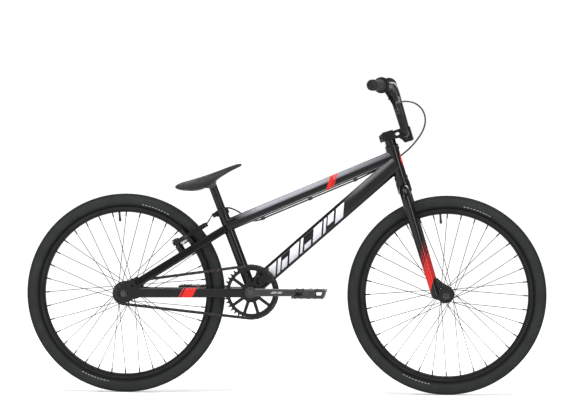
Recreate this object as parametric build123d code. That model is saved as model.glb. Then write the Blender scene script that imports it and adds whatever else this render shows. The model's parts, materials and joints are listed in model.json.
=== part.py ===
from build123d import *
import os
from math import asin, atan2, cos, degrees, pi, radians, sin, sqrt, tan

# A 24 inch cruiser BMX bicycle with a rear linear-pull brake.
# Millimetres. +X is forward, +Y is the rider's left, +Z is up.
# The origin is on the ground, halfway between the wheels, in the bicycle's middle plane.

# ---- driving dimensions ----
WHEELBASE = 965.0
TYRE_R = 298.5
TYRE_WIDTH = 46.5
TYRE_WALL = 3.0
RIM_R = 259.5
RIM_INNER_R = 243.0
RIM_WIDTH = 25.0
RIM_WALL = 1.8
SPOKE_COUNT = 36
SPOKE_R = 1.0
FRONT_OLN = 100.0
REAR_OLN = 110.0
AXLE_R = 4.75
AXLE_END_R = 4.5
AXLE_END_LENGTH = 7.5

RING_TEETH = 39
COG_TEETH = 16
CHAIN_LINKS = 88
CHAIN_PITCH = 12.7
ROLLER_R = 3.9
RING_THICK = 3.0
CHAINLINE = 43.0
BB_HEIGHT = 305.0
BB_SHELL_WIDTH = 68.0
BB_SHELL_R = 23.5
CRANK_LENGTH = 180.0
CRANK_INNER_Y = 58.0
CRANK_THICK = 14.0
PEDAL_LENGTH = 104.0
PEDAL_WIDTH = 96.0
PEDAL_HEIGHT = 25.0

HEAD_ANGLE = 73.0
HEAD_TUBE_LENGTH = 80.0
HEAD_TUBE_R = 18.5
FORK_LENGTH = 381.07
FORK_RAKE = 30.52
STEERER_R = 14.3
SEAT_ANGLE = 69.0
SEAT_TUBE_LENGTH = 260.0
SEAT_TUBE_R = 15.5
POST_R = 12.7
POST_EXPOSED = 93.0
TOP_TUBE_HEIGHT = 37.0
TOP_TUBE_WIDTH = 34.0
DOWN_TUBE_HEIGHT = 49.0
DOWN_TUBE_WIDTH = 40.0
FRAME_WALL = 2.0
STAY_WALL = 1.8

FORK_LEG_Y = 57.0
FORK_LEG_TOP_R = 15.5
FORK_LEG_END_R = 11.8
DROPOUT_THICK = 6.5
STEM_REACH = 53.0
BAR_TUBE_R = 11.1
BAR_RISE = 156.0
BAR_WIDTH = 711.0
GRIP_LENGTH = 122.0
CABLE_R = 2.5
NOODLE_R = 2.2
WIRE_R = 0.8

# ---- named clearances ----
WELD_GAP = 0.05      # mitred tube end to the tube that it is welded to
RUN_GAP = 0.05       # shaft in its bore, on the radius
FACE_GAP = 0.3       # between faces that turn past each other
SEAT_GAP = 0.25      # between pieces that sit on each other
CHAIN_GAP = 0.25     # roller to tooth gap


# ---- small geometry helpers ----
def vec(x, y, z):
    """A point or direction."""
    return Vector(x, y, z)


def rod(start, end, radius):
    """A round bar between two points."""
    run = end - start
    return Solid.make_cylinder(radius, run.length, Plane(origin=start, z_dir=run))


def cone(start, end, start_radius, end_radius):
    """A tapered round bar between two points."""
    run = end - start
    return Solid.make_cone(start_radius, end_radius, run.length, Plane(origin=start, z_dir=run))


def pipe(start, end, outer, inner):
    """A tube between two points, bored right through."""
    run = (end - start).normalized()
    return rod(start, end, outer) - rod(start - run, end + run, inner)


def oval_pipe(start, end, height, width, wall, square=3.0):
    """A tube with a rounded box section; height lies in the X-Z plane and width along Y."""
    run = end - start
    plane = Plane(origin=start, x_dir=vec(0, 1, 0), z_dir=run)
    corner = min(height, width) / square
    outer = extrude(plane * RectangleRounded(width, height, corner), run.length)
    inner = extrude(
        plane * RectangleRounded(width - 2 * wall, height - 2 * wall, corner - wall), run.length
    )
    return outer.solid(), inner.solid()


def side_plate(points, y_low, y_high):
    """A plate cut from an outline of (x, z) points, between two distances from the middle plane."""
    outline = Polyline(*[vec(x, y_low, z) for x, z in points], close=True)
    return extrude(make_face(outline), amount=y_high - y_low, dir=(0, 1, 0)).solid()


def disc(x, z, radius, y_low, y_high):
    """A round disc or bar along Y."""
    return rod(vec(x, y_low, z), vec(x, y_high, z), radius)


def ring(x, z, outer, inner, y_low, y_high):
    """A round ring along Y."""
    return disc(x, z, outer, y_low, y_high) - disc(x, z, inner, y_low - 1, y_high + 1)


def polar(x, z, radius, angle_deg):
    """The (x, z) point at a radius and an angle from +X towards +Z."""
    return x + radius * cos(radians(angle_deg)), z + radius * sin(radians(angle_deg))


def box_between(low, high):
    """A square-edged block between two corners."""
    size = [b - a for a, b in zip(low, high)]
    middle = [(a + b) / 2 for a, b in zip(low, high)]
    return Location(tuple(middle)) * Box(*size)


def cut(piece, *tools):
    """A piece with others taken away."""
    for tool in tools:
        piece = piece - tool
    return piece


def mirrored(piece):
    """The same piece on the other side of the middle plane."""
    return mirror(piece, about=Plane.XZ)


def bent_tube(points, radius, arc_radii=None):
    """A round bar along straight runs joined by tangent arcs."""
    points = [Vector(*p) for p in points]
    if arc_radii is None:
        arc_radii = route_radii(points)
    path = FilletPolyline(*points, radius=arc_radii)
    start = path @ 0
    plane = Plane(origin=start, z_dir=path % 0)
    return sweep(plane * Circle(radius), path=path).solid(), path


def route_radii(points):
    """The largest arc that each corner's two runs leave room for."""
    radii = []
    for before, corner, after in zip(points, points[1:], points[2:]):
        turn = radians((corner - before).get_angle(after - corner))
        shorter = min((corner - before).length, (after - corner).length)
        radii.append(0.45 * shorter / tan(turn / 2))
    return radii


NODES = {}


def keep(name, *pieces):
    """Store separate solids in a node."""
    for piece in pieces:
        NODES.setdefault(name, []).extend(piece.solids())


# ---- layout worked out from the driving dimensions ----
REAR_HUB = vec(-WHEELBASE / 2, 0, TYRE_R)
FRONT_HUB = vec(WHEELBASE / 2, 0, TYRE_R)

RING_PITCH_R = CHAIN_PITCH / 2 / sin(pi / RING_TEETH)
COG_PITCH_R = CHAIN_PITCH / 2 / sin(pi / COG_TEETH)
RING_PINS = 22
COG_PINS = 8
RUN_LINKS = (CHAIN_LINKS - (RING_PINS - 1) - (COG_PINS - 1)) // 2
RING_STEP = 360 / RING_TEETH
COG_STEP = 360 / COG_TEETH
RING_HALF_WRAP = (RING_PINS - 1) / 2 * RING_STEP
COG_HALF_WRAP = 180 - (COG_PINS - 1) / 2 * COG_STEP
RUN_RISE = RING_PITCH_R * sin(radians(RING_HALF_WRAP)) - COG_PITCH_R * sin(radians(COG_HALF_WRAP))
RUN_LENGTH = RUN_LINKS * CHAIN_PITCH
STAY_LENGTH = (
    sqrt(RUN_LENGTH**2 - RUN_RISE**2)
    - RING_PITCH_R * cos(radians(RING_HALF_WRAP))
    + COG_PITCH_R * cos(radians(COG_HALF_WRAP))
)
BB_DROP = REAR_HUB.Z - BB_HEIGHT
BB = vec(REAR_HUB.X + sqrt(STAY_LENGTH**2 - BB_DROP**2), 0, BB_HEIGHT)
CHAIN_TILT = degrees(atan2(-BB_DROP, BB.X - REAR_HUB.X))

HEAD_LEAN = radians(90 - HEAD_ANGLE)
HEAD_FORWARD = vec(cos(HEAD_LEAN), 0, sin(HEAD_LEAN))
HEAD_UP = vec(-sin(HEAD_LEAN), 0, cos(HEAD_LEAN))
HEAD_BOTTOM = FRONT_HUB - HEAD_FORWARD * FORK_RAKE + HEAD_UP * FORK_LENGTH


def head(forward, up, left=0.0):
    """A point in the steering frame: ahead of the steering axis, along it, and to the left."""
    return HEAD_BOTTOM + HEAD_FORWARD * forward + HEAD_UP * up + vec(0, left, 0)


def head_frame(point):
    """How far a point lies ahead of the steering axis, and how far along it."""
    offset = point - HEAD_BOTTOM
    return offset.dot(HEAD_FORWARD), offset.dot(HEAD_UP)


def head_bar(up_low, up_high, radius):
    """A round bar on the steering axis."""
    return rod(head(0, up_low), head(0, up_high), radius)


def head_ring(up_low, up_high, outer, inner):
    """A ring on the steering axis."""
    return head_bar(up_low, up_high, outer) - head_bar(up_low - 1, up_high + 1, inner)


def head_block(forward, up, left):
    """A square-edged block in the steering frame, from (low, high) pairs."""
    middle = head(sum(forward) / 2, sum(up) / 2, sum(left) / 2)
    plane = Plane(origin=middle, x_dir=HEAD_FORWARD, z_dir=HEAD_UP)
    return plane * Box(forward[1] - forward[0], left[1] - left[0], up[1] - up[0])


SEAT_UP = vec(-cos(radians(SEAT_ANGLE)), 0, sin(radians(SEAT_ANGLE)))
SEAT_BACK = vec(-SEAT_UP.Z, 0, SEAT_UP.X)
SEAT_TUBE_TOP = BB + SEAT_UP * SEAT_TUBE_LENGTH
POST_TOP = SEAT_TUBE_TOP + SEAT_UP * POST_EXPOSED

TOP_TUBE_REAR = BB + SEAT_UP * 212.2
TOP_TUBE_FRONT = head(0, 64.2)
DOWN_TUBE_REAR = BB + vec(10, 0, 17)
DOWN_TUBE_FRONT = head(0, 41.0)

STAY_END_X = REAR_HUB.X + 36.0
DROPOUT_IN = REAR_OLN / 2
DROPOUT_OUT = DROPOUT_IN + DROPOUT_THICK
CHAINSTAY_HEIGHT = 27.0
CHAINSTAY_WIDTH = 13.5
SEATSTAY_HEIGHT = 23.5
SEATSTAY_WIDTH = 12.0
SEATSTAY_SLOPE = radians(32.0)
SEATSTAY_AHEAD = 132.6
SEATSTAY_ABOVE = 90.0
STAY_UP = vec(cos(SEATSTAY_SLOPE), 0, sin(SEATSTAY_SLOPE))
STAY_OUT = vec(-sin(SEATSTAY_SLOPE), 0, cos(SEATSTAY_SLOPE))


def seatstay_point(x, left):
    """A point on the seatstay's centre line."""
    ahead = x - REAR_HUB.X - SEATSTAY_AHEAD
    return vec(x, left, REAR_HUB.Z + SEATSTAY_ABOVE + tan(SEATSTAY_SLOPE) * ahead)


BOSS_Y = 40.0
BOSS_STAND_OFF = 41.0
BOSS_R = 4.5
BOSS_FOOT = seatstay_point(REAR_HUB.X + 175.2, BOSS_Y)
BRAKE_PIVOT = BOSS_FOOT + STAY_OUT * BOSS_STAND_OFF


# ---- frame ----
def stay(points, height, width):
    """A box-section stay along straight runs with mitred corners."""
    first = points[1] - points[0]
    plane = Plane(origin=points[0], x_dir=first.cross(vec(0, 1, 0)).normalized(), z_dir=first)
    path = Polyline(*points)
    outer = sweep(
        plane * RectangleRounded(height, width, 4.5), path=path, transition=Transition.RIGHT
    )
    inner = sweep(
        plane * RectangleRounded(height - 2 * STAY_WALL, width - 2 * STAY_WALL, 2.7),
        path=path,
        transition=Transition.RIGHT,
    )
    return outer.solid(), inner.solid()


def make_frame():
    shell = disc(BB.X, BB.Z, BB_SHELL_R, -BB_SHELL_WIDTH / 2, BB_SHELL_WIDTH / 2)
    shell_bore = disc(BB.X, BB.Z, BB_SHELL_R - 3.0, -BB_SHELL_WIDTH, BB_SHELL_WIDTH)
    shell_clear = disc(BB.X, BB.Z, BB_SHELL_R + WELD_GAP, -BB_SHELL_WIDTH, BB_SHELL_WIDTH)
    keep("bottom_bracket_shell", shell - shell_bore)

    head_outer = head_bar(0, HEAD_TUBE_LENGTH, HEAD_TUBE_R)
    head_clear = head_bar(-60, HEAD_TUBE_LENGTH + 60, HEAD_TUBE_R + WELD_GAP)
    keep("head_tube", head_outer - head_bar(-1, HEAD_TUBE_LENGTH + 1, HEAD_TUBE_R - 1.6))

    seat_outer = rod(BB, SEAT_TUBE_TOP, SEAT_TUBE_R)
    seat_bore = rod(BB, SEAT_TUBE_TOP + SEAT_UP, POST_R + RUN_GAP)
    seat_clear = rod(BB, SEAT_TUBE_TOP + SEAT_UP * 40, SEAT_TUBE_R + WELD_GAP)
    keep("seat_tube", cut(seat_outer, seat_bore, shell_clear))

    top_outer, top_inner = oval_pipe(
        TOP_TUBE_REAR, TOP_TUBE_FRONT, TOP_TUBE_HEIGHT, TOP_TUBE_WIDTH, FRAME_WALL
    )
    cup_clear = head_bar(HEAD_TUBE_LENGTH, HEAD_TUBE_LENGTH + 40, HEAD_TUBE_R + 2.3)
    keep("top_tube", cut(top_outer, top_inner, head_clear, cup_clear, seat_clear))

    down_outer, down_inner = oval_pipe(
        DOWN_TUBE_REAR, DOWN_TUBE_FRONT, DOWN_TUBE_HEIGHT, DOWN_TUBE_WIDTH, FRAME_WALL
    )
    down = cut(down_outer, down_inner, head_clear, seat_clear, shell_clear, top_outer)
    keep("down_tube", max(down.solids(), key=lambda solid: solid.volume))

    # The chainstays run level beside the chainring, then flare out to the dropouts.
    chain_points = [
        vec(BB.X - 12, 33.2, BB.Z - 3),
        vec(BB.X - 104, 33.2, BB.Z - 4),
        vec(STAY_END_X, DROPOUT_OUT - 3.2, REAR_HUB.Z + 1.5),
    ]
    chain_outer, chain_inner = stay(chain_points, CHAINSTAY_HEIGHT, CHAINSTAY_WIDTH)
    yoke = box_between((BB.X - 42, -31, BB.Z - 15), (BB.X - 8, 31, BB.Z + 9))
    yoke = cut(yoke, chain_outer, mirrored(chain_outer), shell_clear, seat_clear)
    chainstay = cut(chain_outer, chain_inner, shell_clear)
    keep("chainstays", chainstay, mirrored(chainstay))
    keep("chainstays", yoke.solids().sort_by(lambda s: s.volume)[-1])

    seat_points = [
        seatstay_point(STAY_END_X - 2, DROPOUT_OUT - 1.5),
        seatstay_point(-405, 55.5),
        seatstay_point(-228, 33.4),
        seatstay_point(-182, 17.0),
    ]
    seat_stay_outer, seat_stay_inner = stay(seat_points, SEATSTAY_HEIGHT, SEATSTAY_WIDTH)
    boss_bore = rod(BOSS_FOOT, BRAKE_PIVOT, BOSS_R)
    seatstay = cut(seat_stay_outer, seat_stay_inner, seat_clear, top_outer, boss_bore)
    boss = rod(BOSS_FOOT + STAY_OUT * 2, BRAKE_PIVOT + STAY_OUT * 9, BOSS_R)
    collar = rod(BOSS_FOOT + STAY_OUT * (SEATSTAY_HEIGHT / 2 - 1), BRAKE_PIVOT - STAY_OUT * 8, 7.5)
    boss = cut(boss + collar, seat_stay_outer - boss_bore)
    seatstay = max(seatstay.solids(), key=lambda solid: solid.volume)
    keep("seatstays", seatstay, mirrored(seatstay))
    keep("seatstays", boss, mirrored(boss))

    # Each dropout is a plate with a long slot that opens to the rear.
    outline = [
        polar(REAR_HUB.X, REAR_HUB.Z, 20, 250),
        polar(REAR_HUB.X, REAR_HUB.Z, 20, 215),
        polar(REAR_HUB.X, REAR_HUB.Z, 21, 180),
        polar(REAR_HUB.X, REAR_HUB.Z, 20, 140),
        polar(REAR_HUB.X, REAR_HUB.Z, 27, 105),
        (REAR_HUB.X + 24, REAR_HUB.Z + 46),
        (REAR_HUB.X + 50, REAR_HUB.Z + 40),
        (REAR_HUB.X + 44, REAR_HUB.Z - 14),
        (REAR_HUB.X + 12, REAR_HUB.Z - 20),
    ]
    plate = side_plate(outline, DROPOUT_IN, DROPOUT_OUT)
    slot_r = AXLE_R + 0.25
    slot = disc(REAR_HUB.X, REAR_HUB.Z, slot_r, 40, 80)
    slot += disc(REAR_HUB.X + 8, REAR_HUB.Z, slot_r, 40, 80)
    slot += box_between(
        (REAR_HUB.X - 40, 40, REAR_HUB.Z - slot_r), (REAR_HUB.X + 8, 80, REAR_HUB.Z + slot_r)
    )
    window = disc(REAR_HUB.X + 26, REAR_HUB.Z + 24, 4.5, 40, 80)
    plate = cut(plate, slot, window, chain_outer, seat_stay_outer)
    plate = max(plate.solids(), key=lambda solid: solid.volume)
    keep("rear_dropouts", plate, mirrored(plate))

    # Seat clamp: a split collar with two ears and one bolt behind the seat tube.
    clamp_low = SEAT_TUBE_TOP - SEAT_UP * 14
    clamp_high = SEAT_TUBE_TOP + SEAT_UP * 4
    clamp = rod(clamp_low, clamp_high, SEAT_TUBE_R + 4)
    ears_middle = (clamp_low + clamp_high) * 0.5 - SEAT_BACK * -(SEAT_TUBE_R + 8)
    ear_plane = Plane(origin=ears_middle, x_dir=vec(0, 1, 0), z_dir=SEAT_UP)
    ears = ear_plane * Box(20, 15, 14)
    slit = ear_plane * Box(2.4, 40, 60)
    clamp_bore = rod(clamp_low - SEAT_UP, SEAT_TUBE_TOP, SEAT_TUBE_R + WELD_GAP)
    post_bore = rod(SEAT_TUBE_TOP - SEAT_UP, clamp_high + SEAT_UP, POST_R + 0.4)
    bolt_hole = rod(ears_middle + vec(0, -30, 0), ears_middle + vec(0, 30, 0), 2.7)
    clamp = cut(clamp + ears, clamp_bore, post_bore, bolt_hole, slit)
    bolt = rod(ears_middle + vec(0, -10.3, 0), ears_middle + vec(0, 14, 0), 2.5)
    bolt += rod(ears_middle + vec(0, -15, 0), ears_middle + vec(0, -10.3, 0), 4.6)
    bolt += rod(ears_middle + vec(0, 10.3, 0), ears_middle + vec(0, 14.5, 0), 4.6)
    keep("seat_clamp", max(clamp.solids(), key=lambda solid: solid.volume))
    keep("seat_clamp", bolt)
    return top_outer, down_outer


TOP_TUBE_SOLID, DOWN_TUBE_SOLID = make_frame()


# ---- headset ----
CUP_R = 20.5
CUP_STACK = 10.0
COVER_STACK = 8.0
SPACER_STACK = 14.0
RACE_STACK = 8.0
STEM_LOW = HEAD_TUBE_LENGTH + CUP_STACK + COVER_STACK + SPACER_STACK
STEM_HEIGHT = 25.0
STEM_HIGH = STEM_LOW + STEM_HEIGHT


def make_headset():
    bearing_r = CUP_R - 2.2
    insert_r = HEAD_TUBE_R - 1.6 - WELD_GAP
    upper_top = HEAD_TUBE_LENGTH + CUP_STACK
    cups = []
    for low, high, seat_low, seat_high, insert_low, insert_high in (
        (HEAD_TUBE_LENGTH + WELD_GAP, upper_top, HEAD_TUBE_LENGTH + 2, upper_top, 68, 80.5),
        (-CUP_STACK, -WELD_GAP, -CUP_STACK, -2.0, -0.5, 12),
    ):
        cup = head_bar(low, high, CUP_R) + head_bar(insert_low, insert_high, insert_r)
        bore = head_bar(-70, HEAD_TUBE_LENGTH + 70, STEERER_R + 1.0)
        pocket = head_bar(seat_low - 0.01, seat_high + 0.01, bearing_r)
        cups.append(cut(cup, bore, pocket))
    keep("headset_cups", *cups)
    bearings = [
        head_ring(HEAD_TUBE_LENGTH + 2.2, upper_top - 0.2, bearing_r - RUN_GAP, STEERER_R + RUN_GAP),
        head_ring(0.2 - CUP_STACK, -2.2, bearing_r - RUN_GAP, STEERER_R + RUN_GAP),
    ]
    keep("headset_bearings", *bearings)

    cover_low = upper_top + FACE_GAP
    cover_high = upper_top + COVER_STACK
    bore_r = STEERER_R + RUN_GAP
    cover = head_ring(cover_low, cover_high - 3, CUP_R, bore_r)
    cover += cut(
        cone(head(0, cover_high - 3), head(0, cover_high), CUP_R, CUP_R - 3),
        head_bar(cover_low, cover_high + 1, bore_r),
    )
    keep("headset_covers", cover)
    half = (STEM_LOW - cover_high - 3 * WELD_GAP) / 2
    spacers = [
        head_ring(cover_high + WELD_GAP, cover_high + WELD_GAP + half, 16.5, bore_r),
        head_ring(cover_high + 2 * WELD_GAP + half, STEM_LOW - WELD_GAP, 16.5, bore_r),
    ]
    keep("headset_covers", *spacers)
    race = head_ring(-CUP_STACK - RACE_STACK, -CUP_STACK - FACE_GAP, CUP_R - 0.5, bore_r)
    keep("headset_covers", race)


# ---- fork ----
CROWN_TOP = -CUP_STACK - RACE_STACK - WELD_GAP
CROWN_LOW = -54.0
CROWN_R = 21.5
LEG_END = -372.0
AXLE_AHEAD, AXLE_UP = head_frame(FRONT_HUB)


def make_fork():
    crown = head_bar(CROWN_LOW, CROWN_TOP, CROWN_R)
    crown = fillet(crown.edges().filter_by(GeomType.CIRCLE).sort_by(Axis.Z)[:1], 6)
    steerer = head_bar(CROWN_TOP - 2, STEM_HIGH - 2, STEERER_R)
    bore = head_bar(CROWN_LOW + 8, STEM_HIGH, STEERER_R - 1.6)
    keep("steerer_and_crown", cut(steerer + crown, bore))

    bend_points = [head(0, -38, 6), head(0, -44, FORK_LEG_Y), head(0, -96, FORK_LEG_Y)]
    bend, _ = bent_tube(bend_points, FORK_LEG_TOP_R, [30])
    bend_bore, _ = bent_tube(bend_points, FORK_LEG_TOP_R - 1.6, [30])
    top = head(0, -96, FORK_LEG_Y)
    end = head(0, LEG_END, FORK_LEG_Y)
    plug = head(0, LEG_END + 14, FORK_LEG_Y)
    leg = bend + cone(top, end, FORK_LEG_TOP_R, FORK_LEG_END_R)
    leg_bore = bend_bore + cone(top, plug, FORK_LEG_TOP_R - 1.6, FORK_LEG_END_R - 1.2)
    crown_clear = head_bar(CROWN_LOW - 20, CROWN_TOP + 20, CROWN_R + WELD_GAP)
    leg = max(cut(leg, leg_bore, crown_clear).solids(), key=lambda solid: solid.volume)
    keep("fork_legs", leg, mirrored(leg))

    inner = FRONT_OLN / 2
    corners = [(0, -326), (15, -324), (26, -342), (47, -364), (52, -381), (47, -394), (31, -402)]
    corners += [(13, -398), (6, -388), (-10, -376), (-10, -340)]
    outline = [(head(ahead, up).X, head(ahead, up).Z) for ahead, up in corners]
    plate = side_plate(outline, inner, inner + DROPOUT_THICK)
    slot_r = AXLE_R + 0.25
    slot = disc(FRONT_HUB.X, FRONT_HUB.Z, slot_r, 30, 80)
    slot += Plane(
        origin=FRONT_HUB + vec(0, 60, 0) - HEAD_UP * 20, x_dir=HEAD_FORWARD, z_dir=HEAD_UP
    ) * Box(2 * slot_r, 40, 40)
    hole_at = head(19, -357)
    hole = disc(hole_at.X, hole_at.Z, 3.5, 30, 80)
    leg_solid = cone(top, end, FORK_LEG_TOP_R + WELD_GAP, FORK_LEG_END_R + WELD_GAP)
    plate = cut(plate, slot, hole, leg_solid)
    plate = max(plate.solids(), key=lambda solid: solid.volume)
    keep("fork_dropouts", plate, mirrored(plate))


# ---- cockpit ----
BAR_UP = STEM_HIGH - 22.0
STEM_HALF = 24.0
BAR_KNEE_Y = 130.0
BAR_FOOT_Y = 48.0
BACKSWEEP = radians(10.0)
UPSWEEP = radians(3.0)
BAR_KNEE_UP = BAR_UP + BAR_RISE - 3.0
CROSSBAR_UP = BAR_UP + 110.0
LEVER_Y = -216.0
LEVER_LEAN = radians(15.0)
LEVER_DOWN = HEAD_FORWARD * sin(LEVER_LEAN) - HEAD_UP * cos(LEVER_LEAN)
LEVER_FORE = HEAD_FORWARD * cos(LEVER_LEAN) + HEAD_UP * sin(LEVER_LEAN)
LEVER_PIVOT_DROP = 44.0
CABLE_EXIT_DROP = 62.0


def bar_axis(left):
    """A point on the grip part of the handlebar's centre line."""
    out = abs(left) - BAR_KNEE_Y
    return head(STEM_REACH - out * tan(BACKSWEEP), BAR_KNEE_UP + out * tan(UPSWEEP), left)


def make_stem():
    face = 0.9
    profile = [(-28, STEM_LOW + 1), (-28, STEM_HIGH - 5), (-20, STEM_HIGH), (20, STEM_HIGH)]
    profile += [(44, BAR_UP + 22.5), (STEM_REACH - face, BAR_UP + 22.5)]
    profile += [(STEM_REACH - face, BAR_UP - 22.5), (42, BAR_UP - 22.5), (37, BAR_UP - 12)]
    profile += [(29, BAR_UP - 4), (19, STEM_LOW)]
    corners = [head(ahead, up) for ahead, up in profile]
    body = side_plate([(point.X, point.Z) for point in corners], -STEM_HALF, STEM_HALF)
    waist = head_block((-40, 33), (STEM_LOW - 40, STEM_HIGH + 40), (19.5, 60))
    body = cut(body, waist, mirrored(waist))
    window_plane = Plane(origin=head(27.5, BAR_UP + 9.5, 0), x_dir=HEAD_FORWARD, z_dir=vec(0, 1, 0))
    window = extrude(window_plane * Ellipse(7.0, 4.6), 60, both=True)
    bar_hole = rod(head(STEM_REACH, BAR_UP, -60), head(STEM_REACH, BAR_UP, 60), BAR_TUBE_R + WELD_GAP)
    steerer_hole = head_bar(STEM_LOW - 5, STEM_HIGH + 5, STEERER_R + WELD_GAP)
    slit = head_block((-60, -10), (STEM_LOW - 20, STEM_HIGH + 20), (-1, 1))
    body = cut(body, window, bar_hole, steerer_hole, slit)
    plate = head_block(
        (STEM_REACH + face, STEM_REACH + 16), (BAR_UP - 22.5, BAR_UP + 22.5), (-STEM_HALF, STEM_HALF)
    )
    front = plate.edges().filter_by(Axis.Y).sort_by(Axis.X)[-2:]
    plate = fillet(front, 5)
    plate = cut(plate, bar_hole)

    bolts = []
    for left in (-17, 17):
        for rise in (-17, 17):
            front_end = head(STEM_REACH + 15, BAR_UP + rise, left)
            shank = rod(front_end, head(STEM_REACH - 12, BAR_UP + rise, left), 2.5)
            screw_head = rod(front_end, head(STEM_REACH + 11, BAR_UP + rise, left), 4.2)
            socket = rod(front_end, head(STEM_REACH + 12.5, BAR_UP + rise, left), 2.0)
            bolts.append(cut(shank + screw_head, socket))
            hole = rod(head(STEM_REACH + 20, BAR_UP + rise, left), shank.center(), 2.5 + RUN_GAP)
            hole += rod(shank.center(), head(STEM_REACH - 13, BAR_UP + rise, left), 2.5 + RUN_GAP)
            seat = rod(
                head(STEM_REACH + 20, BAR_UP + rise, left),
                head(STEM_REACH + 10.9, BAR_UP + rise, left),
                4.4,
            )
            plate = cut(plate, hole, seat)
            body = cut(body, hole)
    for rise in (6, 18):
        at = head(-22.5, STEM_LOW + rise, 0)
        shank = rod(at + vec(0, -16, 0), at + vec(0, 14, 0), 2.5)
        screw_head = rod(at + vec(0, -19.5, 0), at + vec(0, -15.5, 0), 4.2)
        socket = rod(at + vec(0, -19.6, 0), at + vec(0, -17.5, 0), 2.0)
        bolts.append(cut(shank + screw_head, socket))
        hole = rod(at + vec(0, -25, 0), at + vec(0, 15, 0), 2.5 + RUN_GAP)
        hole += rod(at + vec(0, -25, 0), at + vec(0, -15.4, 0), 4.4)
        body = cut(body, hole)
    keep("stem", max(body.solids(), key=lambda solid: solid.volume))
    keep("stem_faceplate", max(plate.solids(), key=lambda solid: solid.volume))
    keep("stem_bolts", *bolts)

    cap = head_bar(STEM_HIGH + WELD_GAP, STEM_HIGH + 3.5, 17.0)
    cap = fillet(cap.edges().filter_by(GeomType.CIRCLE).sort_by(Axis.Z)[-1:], 1.5)
    cap = cut(cap, head_bar(STEM_HIGH - 1, STEM_HIGH + 5, 3.2))
    cap_bolt = head_bar(STEM_HIGH - 20, STEM_HIGH + 3.2, 3.0) - head_bar(STEM_HIGH, STEM_HIGH + 5, 2.0)
    keep("stem_top_cap", cap)
    keep("stem_bolts", cap_bolt)


def make_handlebar():
    half = BAR_WIDTH / 2
    left_points = [bar_axis(half), bar_axis(BAR_KNEE_Y), head(STEM_REACH, BAR_UP, BAR_FOOT_Y)]
    right_points = [vec(p.X, -p.Y, p.Z) for p in reversed(left_points)]
    corner_arcs = [60, 38, 38, 60]
    bar, _ = bent_tube(left_points + right_points, BAR_TUBE_R, corner_arcs)
    bar_bore, _ = bent_tube(left_points + right_points, BAR_TUBE_R - 2.0, corner_arcs)
    share = (CROSSBAR_UP - BAR_UP) / (BAR_KNEE_UP - BAR_UP)
    cross_y = BAR_FOOT_Y + (BAR_KNEE_Y - BAR_FOOT_Y) * share
    cross_ends = head(STEM_REACH, CROSSBAR_UP, -cross_y), head(STEM_REACH, CROSSBAR_UP, cross_y)
    crossbar = rod(*cross_ends, 9.5)
    keep("handlebar", cut(bar + crossbar, bar_bore))

    grips = []
    plugs = []
    out = (bar_axis(half) - bar_axis(BAR_KNEE_Y)).normalized()
    tip = bar_axis(half)
    grip = pipe(tip - out * GRIP_LENGTH, tip, 16.5, BAR_TUBE_R + WELD_GAP)
    flange = pipe(tip - out * GRIP_LENGTH, tip - out * (GRIP_LENGTH - 4), 24.0, BAR_TUBE_R + WELD_GAP)
    grip = grip + flange
    plug = rod(tip - out * 18, tip + out * 0.1, BAR_TUBE_R - 2.0 - WELD_GAP)
    plug += rod(tip + out * WELD_GAP, tip + out * 3.5, 15.0)
    keep("grips", grip, mirrored(grip))
    keep("bar_end_plugs", plug, mirrored(plug))


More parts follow.
